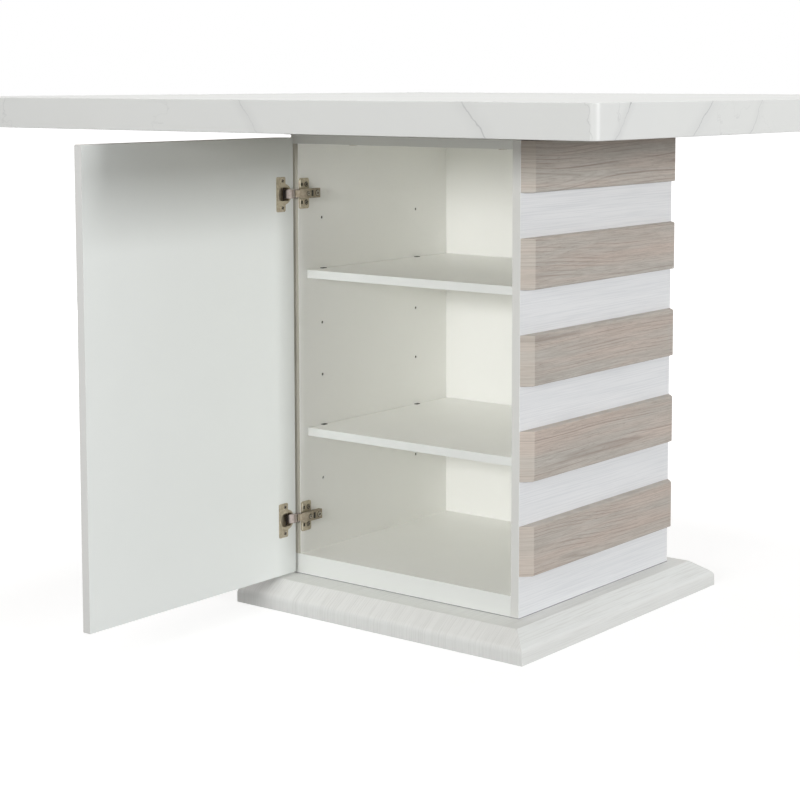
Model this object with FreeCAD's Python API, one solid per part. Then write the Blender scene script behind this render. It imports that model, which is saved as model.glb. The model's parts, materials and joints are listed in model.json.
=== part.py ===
import FreeCAD, Part
import math
import os

# Pedestal table at bar height: a square cupboard column with one hinged door, on a moulded plinth,
# under a large square top. Millimetres.
# X runs to the right and Y to the rear as one faces the door, Z is up.
# The origin is the centre of the plinth on the floor.
# The door is made shut and then swung open to its rest place.

# Shared values
overrun = 20.0
rest_open_degrees = 90.0
running_clearance = 0.05
seat_clearance = 0.3

# Table top: a hollow slab with a solid rim, core rails and an underside board
top_side = 1372.0
top_thickness = 50.0
top_corner_radius = 12.0
top_edge_round = 1.5
top_skin = 16.0
top_rim = 55.0
top_underside_thickness = 9.0
top_underside_rebate = 12.0
core_rail_width = 60.0
core_rail_offset = 300.0

# Mounting board between the column and the top
mounting_board_thickness = 18.0

# Column
column_side = 500.0
column_height = 798.0
panel = 16.0
inner_back_thickness = 9.0
rear_space = 19.0
groove_depth = 6.0
front_rail_height = 37.0
rail_thickness = 16.0
corner_block_side = 60.0

# Rows of blind holes for the shelf supports, whose pitch comes to three steps of 32 mm
hole_radius = 2.5
hole_depth = 10.0
hole_count = 6
hole_first_height = 167.0
hole_last_drop = 151.0
hole_front_setback = 64.0
hole_rear_inset = 98.0

# Shelves and their supports
shelf_thickness = 15.0
shelf_setback = 22.0
shelf_side_gap = 1.0
shelf_back_gap = 2.0
shelf_over_hole = 3.5
shelf_hole_steps = {"upper": 4, "lower": 1}
support_width = 10.0
support_notch_depth = 7.0
support_proud = 1.0
support_ledge_length = 14.0
support_ledge_thickness = 3.0

# Slats: boards with bevelled ends on the door and the three other faces
slat_thickness = 18.0
slat_height = 85.0
slat_count = 5
slat_first_height = 72.0
slat_top_drop = 1.0
slat_edge_round = 3.0

# Door and its fit
door_thickness = 16.0
door_gap = 2.0
door_edge_gap = 1.0
door_end_gap = 5.0
door_pivot_inset = 3.0
door_pivot_forward = 10.4

# Concealed hinge, cup side: E runs from the door's hinge edge, and the depth runs into the door
hinge_end_distance = 100.0
cup_radius = 17.5
cup_centre_e = 24.0
cup_depth = 12.0
cup_clearance = 0.1
cup_end_clearance = 0.5
cup_wall = 2.0
cup_well_half_height = 12.0
cup_well_corner = 9.0
cup_rim_radius = 18.2
cup_notch_depth = 3.2
flange_thickness = 1.2
flange_near_e = 8.0
flange_wing_e = 21.5
flange_far_e = 44.7
flange_half_height = 31.0
flange_shoulder_half = 19.0
flange_throat_half = 9.5
flange_corner = 3.0
cup_pin_radius = 1.2
cup_pin_half_length = 15.0
cup_screw_e = 30.0
cup_screw_half_spacing = 24.0
screw_head_radius = 3.4
screw_head_height = 1.6
screw_shank_radius = 1.6
screw_length = 12.0
recess_width = 1.0
recess_reach = 2.1
recess_depth = 0.8

# Concealed hinge, arm pin: inset from the side's outer face, forward of the column's front plane
arm_pin_inset = 15.0
arm_pin_forward = 4.5
arm_pin_radius = 1.2
arm_eye_radius = 2.4

# Hinge link, drawn in the open place: how far the strap's bends stand off the arm pin, outward and forward
link_width = 16.0
link_thickness = 2.2
link_neck_out = 1.2
link_neck_forward = 5.5
link_bend_out = 0.8
link_bend_forward = 13.5
link_tip_in = 6.0
link_tip_forward = 22.5
link_ear_length = 7.0
link_tip_half_width = 5.5
link_taper_length = 5.0

# Hinge arm: a channel over the mounting plate, with a narrow nose that carries the pin
arm_width = 17.0
arm_sheet = 1.2
arm_height = 12.2
arm_rear = 46.0
arm_slope_start = 10.0
arm_front_height = 5.6
arm_front_forward = 1.0
arm_wall_height = 8.5
nose_width = 12.0
nose_thickness = 3.0
nose_bend_inset = 18.8
nose_bend_forward = 0.5
arm_slot_centre = 24.9
arm_slot_length = 5.0
arm_slot_width = 10.4
arm_screw_setback = 14.0
arm_screw_radius = 3.25
lock_screw_setback = 38.6
lock_screw_radius = 4.5
arm_screw_head = 1.2
arm_screw_shank_radius = 2.0

# Mounting plate on the side panel
plate_sheet = 1.8
plate_front = 1.0
plate_rear = 27.0
plate_half_height = 27.3
plate_corner = 4.0
plate_ridge_half = 6.6
plate_ridge_height = 9.0
plate_ridge_front = 9.5
plate_ridge_rear = 44.0
plate_screw_setback = 20.0
plate_small_hole_setback = 8.0
plate_small_hole_radius = 1.6
plate_screw_half_spacing = 16.0

# Plinth: a moulded board, hollow below, with core rails and a bottom board
plinth_overhang = 65.0
plinth_height = 48.0
plinth_edge_height = 24.0
plinth_bevel_run = 35.0
plinth_nose_radius = 14.0
plinth_skin = 18.0
plinth_rim = 75.0
plinth_bottom_thickness = 9.0
plinth_bottom_rebate = 12.0
plinth_rail_width = 50.0
plinth_rail_offset = 110.0

# Bolts, nuts, screws, dowels and cam fittings
base_bolt_radius = 4.0
base_bolt_head_radius = 8.0
base_bolt_head_height = 5.0
base_bolt_grip = 14.0
base_bolt_access_radius = 11.0
top_bolt_radius = 3.0
top_bolt_head_radius = 7.0
top_bolt_head_height = 3.5
top_bolt_grip = 12.0
top_bolt_inset = 70.0
nut_wall = 2.0
board_screw_radius = 2.0
board_screw_head_radius = 4.2
board_screw_head_height = 2.6
board_screw_bite = 8.0
board_screw_inset = 40.0
board_screw_count = 4
dowel_radius = 4.0
dowel_length = 30.0
dowel_in_side = 10.0
dowel_count = 3
dowel_inset = 40.0
cam_radius = 7.5
cam_height = 12.0
cam_distance = 24.0
cam_bolt_radius = 2.5
cam_bolt_in_side = 9.0
cam_bolt_in_cam = 5.0
cam_count = 2
cam_inset = 95.0

# Heights
column_bottom = plinth_height
column_top = column_bottom + column_height
table_bottom = column_top + mounting_board_thickness
table_top_z = table_bottom + top_thickness
floor_top = column_bottom + front_rail_height
floor_bottom = floor_top - panel
ceiling = column_top - panel
hole_pitch = (column_height - hole_first_height - hole_last_drop) / (hole_count - 1)
slat_pitch = (column_height - slat_first_height - slat_height - slat_top_drop) / (slat_count - 1)

# Plan places
column_left = -column_side / 2
column_right = column_side / 2
column_back = column_side / 2
door_face = -column_side / 2
front = door_face + door_thickness + door_gap
inner_left = column_left + panel
inner_right = column_right - panel
inner_back = column_back - panel - rear_space - inner_back_thickness
column_mid = (front + column_back) / 2
inner_mid = (front + inner_back) / 2
slat_reach = column_side / 2 + slat_thickness

# Door places while shut
door_left = column_left + door_edge_gap
door_right = column_right - door_edge_gap
door_bottom = column_bottom + door_end_gap
door_top = column_top - door_end_gap
door_inner = front - door_gap
pivot_x = column_left + door_pivot_inset
pivot_y = front - door_pivot_forward
hinge_heights = {"lower": door_bottom + hinge_end_distance, "upper": door_top - hinge_end_distance}

# Hinge places
pin_x = column_left + arm_pin_inset
pin_y = front - arm_pin_forward
cup_x = door_left + cup_centre_e
link_half = link_width / 2
nose_half = nose_width / 2
arm_half = arm_width / 2
arm_top_x = inner_left + arm_height

UP = FreeCAD.Vector(0, 0, 1)
RIGHT = FreeCAD.Vector(1, 0, 0)
BACK = FreeCAD.Vector(0, 1, 0)


def point(x, y, z):
    return FreeCAD.Vector(x, y, z)


def block(x_span, y_span, z_span):
    # A box between two values on each axis
    low = point(min(x_span), min(y_span), min(z_span))
    size = [max(span) - min(span) for span in (x_span, y_span, z_span)]
    return Part.makeBox(size[0], size[1], size[2], low)


def about(centre, width):
    # The span of a width laid evenly about a centre
    return (centre - width / 2, centre + width / 2)


def rod(radius, start, end):
    # A round bar between two points
    run = end.sub(start)
    return Part.makeCylinder(radius, run.Length, start, run)


def bore(radius, start, end):
    # The hole that a round bar turns or slides in
    return rod(radius + running_clearance, start, end)


def cone(start_radius, end_radius, start, end):
    # A tapered round bar between two points
    run = end.sub(start)
    return Part.makeCone(start_radius, end_radius, run.Length, start, run)


def prism(points, direction):
    # A flat outline drawn out along a direction
    loop = Part.makePolygon(points + [points[0]])
    return Part.Face(loop).extrude(direction)


def strap(points, thickness, low, high):
    # A bent strap of even thickness through points in plan, between two heights
    pieces = []
    for x, y in points:
        pieces.append(rod(thickness / 2, point(x, y, low), point(x, y, high)))
    for (x0, y0), (x1, y1) in zip(points, points[1:]):
        run = math.hypot(x1 - x0, y1 - y0)
        side_x = (y1 - y0) / run * thickness / 2
        side_y = (x1 - x0) / run * thickness / 2
        outline = [
            point(x0 + side_x, y0 - side_y, low),
            point(x1 + side_x, y1 - side_y, low),
            point(x1 - side_x, y1 + side_y, low),
            point(x0 - side_x, y0 + side_y, low),
        ]
        pieces.append(prism(outline, UP * (high - low)))
    return fuse(pieces)


def fuse(shapes):
    whole = shapes[0]
    for shape in shapes[1:]:
        whole = whole.fuse(shape)
    return whole.removeSplitter()


def cut(shape, tools):
    for tool in tools:
        shape = shape.cut(tool)
    return shape


def group(shapes):
    # Separate solids that share one node
    return Part.makeCompound([solid for shape in shapes for solid in shape.Solids])


def rounded(shape, radius, along):
    # Rounds the straight edges that run along one axis
    picked = [edge for edge in shape.Edges if runs_along(edge, along)]
    return shape.makeFillet(radius, picked)


def runs_along(edge, along):
    if not isinstance(edge.Curve, (Part.Line, Part.LineSegment)):
        return False
    direction = edge.Vertexes[-1].Point.sub(edge.Vertexes[0].Point)
    return direction.cross(along).Length < direction.Length / 1000


def spread(low, high, count):
    # Evenly spaced places from low to high, the ends included
    return [low + (high - low) * step / (count - 1) for step in range(count)]


def opened(shape):
    # Swings what is made on the shut door to its rest place
    turned = shape.copy()
    turned.rotate(point(pivot_x, pivot_y, 0), UP, -rest_open_degrees)
    return turned


def cross_recess(face, inward):
    # The cross-shaped tool for a screw's drive, cut inward from the middle of its head
    side = UP.cross(inward)
    arms = []
    for long_axis, short_axis in ((UP, side), (side, UP)):
        reach = long_axis * recess_reach
        half = short_axis * (recess_width / 2)
        outline = [face - reach - half, face + reach - half, face + reach + half, face - reach + half]
        arms.append(prism(outline, inward * recess_depth))
    return arms


def panel_screw(seat, inward):
    # A small screw whose head stands on its seat
    face = seat - inward * screw_head_height
    head = rod(screw_head_radius, face, seat)
    shank = rod(screw_shank_radius, face, seat + inward * screw_length)
    return cut(fuse([head, shank]), cross_recess(face, inward))


def screw_hole(seat, inward):
    # The pilot hole for one such screw
    tip = seat + inward * (screw_length + running_clearance)
    return bore(screw_shank_radius, seat - inward * overrun, tip)


def top_pieces():
    # The table top: shell, core rails and underside board
    half = top_side / 2
    shell = block((-half, half), (-half, half), (table_bottom, table_top_z))
    shell = rounded(shell, top_corner_radius, UP)
    rims = [edge for edge in shell.Edges if abs(edge.BoundBox.ZLength) < running_clearance]
    shell = shell.makeFillet(top_edge_round, rims)
    hollow = half - top_rim
    cavity_top = table_top_z - top_skin
    board_half = hollow + top_underside_rebate
    board_top = table_bottom + top_underside_thickness
    below = table_bottom - overrun
    cavity = block((-hollow, hollow), (-hollow, hollow), (below, cavity_top))
    rebate = block((-board_half, board_half), (-board_half, board_half), (below, board_top))
    shell = cut(shell, [cavity, rebate])
    fit = board_half - seat_clearance
    board = block((-fit, fit), (-fit, fit), (table_bottom, board_top))
    rails = []
    for offset in (-core_rail_offset, 0, core_rail_offset):
        rails.append(block(about(offset, core_rail_width), (-hollow, hollow), (board_top, cavity_top)))
    return {"table_top_shell": shell, "table_top_core_rails": group(rails), "table_top_underside": board}


def top_bolt_places():
    x_far = inner_right - top_bolt_inset
    return [(x, y) for x in (-x_far, x_far) for y in (front + top_bolt_inset, inner_back - top_bolt_inset)]


def base_bolt_places():
    x_far = inner_right - corner_block_side / 2
    near = front + rail_thickness + corner_block_side / 2
    far = inner_back - rail_thickness - corner_block_side / 2
    return [(x, y) for x in (-x_far, x_far) for y in (near, far)]


def countersink(low, neck):
    # The seat of a mounting board screw's head
    mouth = board_screw_head_radius + running_clearance
    return cone(mouth, board_screw_radius + running_clearance, low, neck)


def mounting_pieces():
    # The board under the top, its screws, and the bolts and nuts that hold it on the column
    board = block((-slat_reach, slat_reach), (front, slat_reach), (column_top, table_bottom))
    bolts = []
    nuts = []
    nut_radius = top_bolt_radius + nut_wall
    for x, y in top_bolt_places():
        tip = column_top + top_bolt_grip
        head = rod(top_bolt_head_radius, point(x, y, ceiling - top_bolt_head_height), point(x, y, ceiling))
        bolts.append(fuse([head, rod(top_bolt_radius, point(x, y, ceiling), point(x, y, tip))]))
        nut = rod(nut_radius, point(x, y, column_top), point(x, y, tip))
        board = cut(board, [nut])
        nuts.append(cut(nut, [bore(top_bolt_radius, point(x, y, column_top), point(x, y, tip))]))
    screws = []
    holes = []
    for x in spread(-slat_reach + board_screw_inset, slat_reach - board_screw_inset, board_screw_count):
        for y in (front + board_screw_inset, inner_mid, slat_reach - board_screw_inset):
            low = point(x, y, column_top)
            neck = point(x, y, column_top + board_screw_head_height)
            tip = point(x, y, table_bottom + board_screw_bite)
            head = cone(board_screw_head_radius, board_screw_radius, low, neck)
            screws.append(fuse([head, rod(board_screw_radius, neck, tip)]))
            holes.append(bore(board_screw_radius, low, tip + UP * running_clearance))
            holes.append(countersink(low, neck))
    return {
        "mounting_board": cut(board, holes),
        "mounting_board_screws": group(screws),
        "top_bolts": group(bolts),
    }, nuts, holes


def joint_rows():
    # Mid heights of the boards that stand between the side panels, with the face that their cams sit in
    return ((ceiling + panel / 2, 1), (floor_bottom + panel / 2, -1))


def dowel_places():
    return spread(front + dowel_inset, inner_back - dowel_inset, dowel_count)


def cam_places():
    return spread(front + cam_inset, inner_back - cam_inset, cam_count)


def joinery():
    # Dowels and cam fittings between the side panels and the boards, with the tools that cut their seats
    dowels, fittings, seats = [], [], []
    for side in (-1, 1):
        wall = side * inner_right
        for height, face in joint_rows():
            for y in dowel_places():
                outer = point(wall + side * dowel_in_side, y, height)
                inner = point(wall + side * (dowel_in_side - dowel_length), y, height)
                dowels.append(rod(dowel_radius, outer, inner))
                seats.append(bore(dowel_radius, outer, inner))
            for y in cam_places():
                cam_x = wall - side * cam_distance
                mouth = point(cam_x, y, height + face * panel / 2)
                floor = mouth - UP * (face * cam_height)
                inner = point(cam_x + side * (cam_radius - cam_bolt_in_cam), y, height)
                outer = point(wall + side * cam_bolt_in_side, y, height)
                channel = bore(cam_bolt_radius, outer, inner)
                fittings.append(rod(cam_bolt_radius, outer, inner))
                fittings.append(cut(rod(cam_radius, mouth, floor), [channel]))
                seats.append(bore(cam_radius, mouth, floor))
                seats.append(channel)
    return dowels, fittings, seats


def hole_rows():
    # The front and the rear row of blind holes
    return (front + hole_front_setback, inner_back - hole_rear_inset)


def hole_height(step):
    return column_bottom + hole_first_height + hole_pitch * step


def side_panel(side, seats):
    # One side panel, with its groove, its rows of blind holes and its joinery seats
    wall = side * inner_right
    body = block((wall, side * column_right), (front, column_back), (column_bottom, column_top))
    groove_fit = inner_back_thickness + seat_clearance
    groove = block(
        (wall - side * overrun, wall + side * groove_depth),
        (inner_back, inner_back + groove_fit),
        (column_bottom - overrun, column_top + overrun),
    )
    holes = []
    for y in hole_rows():
        for step in range(hole_count):
            start = point(wall - side * overrun, y, hole_height(step))
            holes.append(rod(hole_radius, start, point(wall + side * hole_depth, y, hole_height(step))))
    return cut(body, [groove] + holes + seats)


def column_pieces():
    # The cupboard's panels, rails, blocks and joinery
    dowels, fittings, seats = joinery()
    inner = (inner_left, inner_right)
    blocks = []
    nuts = []
    nut_radius = base_bolt_radius + nut_wall
    for x, y in base_bolt_places():
        tip = column_bottom + base_bolt_grip
        nut = rod(nut_radius, point(x, y, column_bottom), point(x, y, tip))
        side_x, side_y = about(x, corner_block_side), about(y, corner_block_side)
        blocks.append(cut(block(side_x, side_y, (column_bottom, floor_bottom)), [nut]))
        nuts.append(cut(nut, [bore(base_bolt_radius, point(x, y, column_bottom), point(x, y, tip))]))
    top_holes = []
    for x, y in top_bolt_places():
        top_holes.append(bore(top_bolt_radius, point(x, y, ceiling), point(x, y, column_top)))
    back_reach = inner_right + groove_depth - seat_clearance
    floor_depth = (front + rail_thickness, inner_back)
    pieces = {
        "side_panel_left": side_panel(-1, seats),
        "side_panel_right": side_panel(1, seats),
        "top_panel": cut(block(inner, (front, inner_back), (ceiling, column_top)), seats + top_holes),
        "bottom_panel": cut(block(inner, floor_depth, (floor_bottom, floor_top)), seats),
        "front_rail": block(inner, (front, front + rail_thickness), (column_bottom, floor_top)),
        "rear_rail": block(inner, (inner_back - rail_thickness, inner_back), (column_bottom, floor_bottom)),
        "inner_back_panel": block(
            (-back_reach, back_reach),
            (inner_back, inner_back + inner_back_thickness),
            (column_bottom, column_top),
        ),
        "rear_panel": block(inner, (column_back - panel, column_back), (column_bottom, column_top)),
        "corner_blocks": group(blocks),
        "panel_dowels": group(dowels),
        "cam_fittings": group(fittings),
    }
    return pieces, nuts


def slat(length, z, height):
    # One slat lying along X with its back on Y zero, its ends bevelled by its own thickness
    half = length / 2
    outline = [
        point(-half, 0, z),
        point(half, 0, z),
        point(half - slat_thickness, -slat_thickness, z),
        point(slat_thickness - half, -slat_thickness, z),
    ]
    body = prism(outline, UP * height)
    outer = []
    for edge in body.Edges:
        if runs_along(edge, RIGHT) and edge.BoundBox.YMax < -slat_thickness / 2:
            outer.append(edge)
    return body.makeFillet(slat_edge_round, outer)


def placed_slats(name, length, turn, x, y, highest):
    # The five slats of one face, turned about Z and moved to that face, none above its top edge
    slats = {}
    for step in range(slat_count):
        z = column_bottom + slat_first_height + slat_pitch * step
        piece = slat(length, z, min(slat_height, highest - z))
        piece.rotate(point(0, 0, 0), UP, turn)
        piece.translate(point(x, y, 0))
        slats["slat_%s_%d" % (name, step + 1)] = piece
    return slats


def slat_pieces():
    side_length = column_back - front
    pieces = {}
    pieces.update(placed_slats("right", side_length, 90, column_right, column_mid, column_top))
    pieces.update(placed_slats("left", side_length, -90, column_left, column_mid, column_top))
    pieces.update(placed_slats("rear", column_side, 180, 0, column_back, column_top))
    door_slats = placed_slats("door", door_right - door_left, 0, 0, door_face, door_top)
    pieces.update({name: opened(piece) for name, piece in door_slats.items()})
    return pieces


def support(side, y, hole_z):
    # One shelf support: a peg in its hole, a lug in the shelf's notch and a ledge under the shelf
    wall = side * inner_right
    shelf_top = hole_z + shelf_over_hole
    shelf_low = shelf_top - shelf_thickness
    lug_reach = wall - side * (support_notch_depth - seat_clearance)
    lug = block((wall, lug_reach), about(y, support_width), (shelf_low, shelf_top + support_proud))
    ledge = block(
        (wall, wall - side * support_ledge_length),
        about(y, support_width),
        (shelf_low - support_ledge_thickness, shelf_low),
    )
    peg_end = point(wall + side * (hole_depth - seat_clearance), y, hole_z)
    peg = rod(hole_radius - running_clearance, point(wall, y, hole_z), peg_end)
    return fuse([lug, ledge, peg])


def shelf_pieces():
    # Two shelves on four supports each
    pieces = {}
    for name, step in shelf_hole_steps.items():
        hole_z = hole_height(step)
        shelf_top = hole_z + shelf_over_hole
        reach = inner_right - shelf_side_gap
        span_y = (front + shelf_setback, inner_back - shelf_back_gap)
        board = block((-reach, reach), span_y, (shelf_top - shelf_thickness, shelf_top))
        supports = []
        notches = []
        for side in (-1, 1):
            for y in hole_rows():
                wall = side * inner_right
                supports.append(support(side, y, hole_z))
                notches.append(
                    block(
                        (wall + side * overrun, wall - side * support_notch_depth),
                        about(y, support_width + 2 * seat_clearance),
                        (shelf_top - shelf_thickness - overrun, shelf_top + overrun),
                    )
                )
        pieces["shelf_" + name] = cut(board, notches)
        pieces["shelf_supports_" + name] = group(supports)
    return pieces


def cup_shape(z):
    # Hinge cup with its flange, in the shut door
    axis_low = point(cup_x, door_inner, z)
    outer = rod(cup_radius - cup_clearance, axis_low, axis_low - BACK * (cup_depth - cup_end_clearance))
    rim = rod(cup_rim_radius, axis_low, axis_low + BACK * flange_thickness)
    near = door_left + flange_near_e
    wing = door_left + flange_wing_e
    far = door_left + flange_far_e
    outline = [
        point(near, door_inner, z - flange_throat_half),
        point(wing, door_inner, z - flange_shoulder_half),
        point(wing, door_inner, z - flange_half_height),
        point(far, door_inner, z - flange_half_height),
        point(far, door_inner, z + flange_half_height),
        point(wing, door_inner, z + flange_half_height),
        point(wing, door_inner, z + flange_shoulder_half),
        point(near, door_inner, z + flange_throat_half),
    ]
    plate = prism(outline, BACK * flange_thickness)
    corners = []
    for edge in plate.Edges:
        at_tip = abs(abs(edge.CenterOfMass.z - z) - flange_half_height) < running_clearance
        if runs_along(edge, BACK) and at_tip:
            corners.append(edge)
    plate = plate.makeFillet(flange_corner, corners)
    well_reach = cup_radius - cup_wall
    well_floor = door_inner - cup_depth + cup_end_clearance + flange_thickness
    well = block(
        (cup_x - well_reach, cup_x + well_reach),
        (well_floor, door_inner + overrun),
        (z - cup_well_half_height, z + cup_well_half_height),
    )
    well = rounded(well, cup_well_corner, BACK)
    notch = block(
        (cup_x - cup_rim_radius - overrun, cup_x),
        (door_inner - cup_notch_depth, door_inner + overrun),
        about(z, link_width + 4 * seat_clearance),
    )
    holes = [screw_hole(seat, -BACK) for seat in cup_screw_seats(z)]
    return cut(fuse([outer, rim, plate]), [well, notch] + holes)


def cup_screw_seats(z):
    x = door_left + cup_screw_e
    y = door_inner + flange_thickness
    return [point(x, y, z - cup_screw_half_spacing), point(x, y, z + cup_screw_half_spacing)]


def cup_pin(z, clearance):
    # The pin across a cup, in the open place: beside the link's tip, inside the curve of the tip's path
    tip_x = pin_x - link_tip_in
    tip_y = pin_y - link_tip_forward
    run_x = pivot_x - pin_x
    run_y = pivot_y - pin_y
    stand_off = link_thickness / 2 + seat_clearance + cup_pin_radius
    share = stand_off / math.hypot(run_x, run_y)
    x = tip_x + run_x * share
    y = tip_y + run_y * share
    reach = cup_pin_half_length + clearance
    return rod(cup_pin_radius + clearance, point(x, y, z - reach), point(x, y, z + reach))


def door_pieces():
    # The door, its two hinge cups, their pins and their screws
    body = block((door_left, door_right), (door_face, door_inner), (door_bottom, door_top))
    pieces = {}
    screws, pins, tools = [], [], []
    for name, z in hinge_heights.items():
        axis = point(cup_x, door_inner, z)
        tools.append(rod(cup_radius, axis + BACK * overrun, axis - BACK * cup_depth))
        for seat in cup_screw_seats(z):
            tools.append(screw_hole(seat, -BACK))
            screws.append(opened(panel_screw(seat, -BACK)))
        pins.append(cup_pin(z, 0))
        pieces["hinge_cup_" + name] = opened(cup_shape(z)).cut(cup_pin(z, running_clearance))
    pieces["door_panel"] = opened(cut(body, tools))
    pieces["hinge_cup_screws"] = group(screws)
    pieces["hinge_cup_pins"] = group(pins)
    return pieces


def arm_pin_bore(z):
    # The hole for the arm pin through one link and one arm
    return bore(arm_pin_radius, point(pin_x, pin_y, z - overrun), point(pin_x, pin_y, z + overrun))


def link_shape(z):
    # Hinge link in the open place: a bent strap with two ears on the arm pin
    route = [
        (pin_x, pin_y),
        (pin_x + link_neck_out, pin_y - link_neck_forward),
        (pin_x + link_bend_out, pin_y - link_bend_forward),
        (pin_x - link_tip_in, pin_y - link_tip_forward),
    ]
    low, high = z - link_half, z + link_half
    body = strap(route, link_thickness, low, high)
    eye = rod(arm_eye_radius, point(pin_x, pin_y, low), point(pin_x, pin_y, high))
    body = fuse([body, eye])
    slot = block(
        about(pin_x, 2 * overrun),
        (pin_y - link_ear_length, pin_y + overrun),
        about(z, nose_width + 2 * seat_clearance),
    )
    tip_y = pin_y - link_tip_forward - link_thickness
    taper_y = tip_y + link_taper_length + link_thickness
    tapers = []
    for up in (-1, 1):
        outer_z = z + up * (link_half + link_thickness)
        outline = [
            point(pin_x - overrun, tip_y, z + up * link_tip_half_width),
            point(pin_x - overrun, tip_y, outer_z),
            point(pin_x - overrun, taper_y, outer_z),
        ]
        tapers.append(prism(outline, RIGHT * (2 * overrun)))
    return cut(body, [slot, arm_pin_bore(z)] + tapers)


def arm_shape(z):
    # Hinge arm: channel, sloped front and the nose with the pin's eye
    low = z - arm_half
    rear_y = front + arm_rear
    slope_y = front + arm_slope_start
    front_y = front - arm_front_forward
    front_x = inner_left + arm_front_height
    outline = [
        point(arm_top_x, rear_y, low),
        point(arm_top_x, slope_y, low),
        point(front_x, front_y, low),
        point(front_x - arm_sheet, front_y + arm_sheet, low),
        point(arm_top_x - arm_wall_height, slope_y, low),
        point(arm_top_x - arm_wall_height, rear_y, low),
    ]
    body = prism(outline, UP * arm_width)
    inside_x = arm_top_x - arm_sheet
    cavity = [
        point(inside_x, rear_y + overrun, low + arm_sheet),
        point(inside_x, slope_y + arm_sheet / 2, low + arm_sheet),
        point(front_x - arm_sheet, front_y + 2 * arm_sheet, low + arm_sheet),
        point(front_x - overrun, front_y + 2 * arm_sheet, low + arm_sheet),
        point(front_x - overrun, rear_y + overrun, low + arm_sheet),
    ]
    body = body.cut(prism(cavity, UP * (arm_width - 2 * arm_sheet)))
    nose_route = [
        (pin_x, pin_y),
        (column_left + nose_bend_inset, front - nose_bend_forward),
        (front_x - arm_sheet / 2, front_y + 2 * arm_sheet),
    ]
    nose = strap(nose_route, nose_thickness, z - nose_half, z + nose_half)
    eye = rod(arm_eye_radius, point(pin_x, pin_y, z - nose_half), point(pin_x, pin_y, z + nose_half))
    body = fuse([body, nose, eye])
    slot_y = about(front + arm_slot_centre, arm_slot_length)
    slot = block((inside_x - arm_sheet, arm_top_x + overrun), slot_y, about(z, arm_slot_width))
    tools = [slot, arm_pin_bore(z)]
    for setback in (arm_screw_setback, lock_screw_setback):
        y = front + setback
        start = point(inside_x - arm_sheet, y, z)
        tools.append(bore(arm_screw_shank_radius, start, point(arm_top_x + overrun, y, z)))
    return cut(body, tools)


def plate_shape(z):
    # Mounting plate: a flat cross plate with a raised ridge under the arm
    sheet_x = inner_left + plate_sheet
    wings = block(
        (inner_left, sheet_x),
        (front + plate_front, front + plate_rear),
        (z - plate_half_height, z + plate_half_height),
    )
    wings = rounded(wings, plate_corner, RIGHT)
    ridge = block(
        (inner_left, inner_left + plate_ridge_height),
        (front + plate_ridge_front, front + plate_ridge_rear),
        (z - plate_ridge_half, z + plate_ridge_half),
    )
    tools = []
    for up in (-plate_screw_half_spacing, plate_screw_half_spacing):
        tools.append(screw_hole(point(sheet_x, front + plate_screw_setback, z + up), -RIGHT))
        small = point(inner_left, front + plate_small_hole_setback, z + up)
        tools.append(rod(plate_small_hole_radius, small, small + RIGHT * overrun))
    for setback in (arm_screw_setback, lock_screw_setback):
        tools.append(arm_screw_shank(front + setback, z, running_clearance))
    return cut(fuse([wings, ridge]), tools)


def arm_screw_shank(y, z, clearance):
    # The shank of one of the arm's two screws, reaching into the ridge
    deep = inner_left + plate_sheet
    return rod(arm_screw_shank_radius + clearance, point(deep, y, z), point(arm_top_x, y, z))


def arm_screws(z):
    # The adjusting screw and the larger locking screw on one arm
    made = []
    sizes = ((arm_screw_setback, arm_screw_radius), (lock_screw_setback, lock_screw_radius))
    for setback, radius in sizes:
        y = front + setback
        face = point(arm_top_x + arm_screw_head, y, z)
        head = rod(radius, point(arm_top_x, y, z), face)
        made.append(cut(fuse([head, arm_screw_shank(y, z, 0)]), cross_recess(face, -RIGHT)))
    return made


def hinge_pieces():
    # Links, arms, plates, pins and screws of the two hinges
    pieces = {}
    plate_screws, adjusters, pins = [], [], []
    for name, z in hinge_heights.items():
        pieces["hinge_link_" + name] = link_shape(z)
        pieces["hinge_arm_" + name] = arm_shape(z)
        pieces["hinge_plate_" + name] = plate_shape(z)
        low, high = point(pin_x, pin_y, z - link_half), point(pin_x, pin_y, z + link_half)
        pins.append(rod(arm_pin_radius, low, high))
        adjusters.extend(arm_screws(z))
        for up in (-plate_screw_half_spacing, plate_screw_half_spacing):
            seat = point(inner_left + plate_sheet, front + plate_screw_setback, z + up)
            plate_screws.append(panel_screw(seat, -RIGHT))
    pieces["hinge_plate_screws"] = group(plate_screws)
    pieces["hinge_arm_screws"] = group(adjusters)
    pieces["hinge_arm_pins"] = group(pins)
    return pieces


def plate_screw_holes():
    # Pilot holes for the mounting plates in the left side panel
    seats = []
    for z in hinge_heights.values():
        for up in (-plate_screw_half_spacing, plate_screw_half_spacing):
            seats.append(point(inner_left + plate_sheet, front + plate_screw_setback, z + up))
    return [screw_hole(seat, -RIGHT) for seat in seats]


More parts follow.
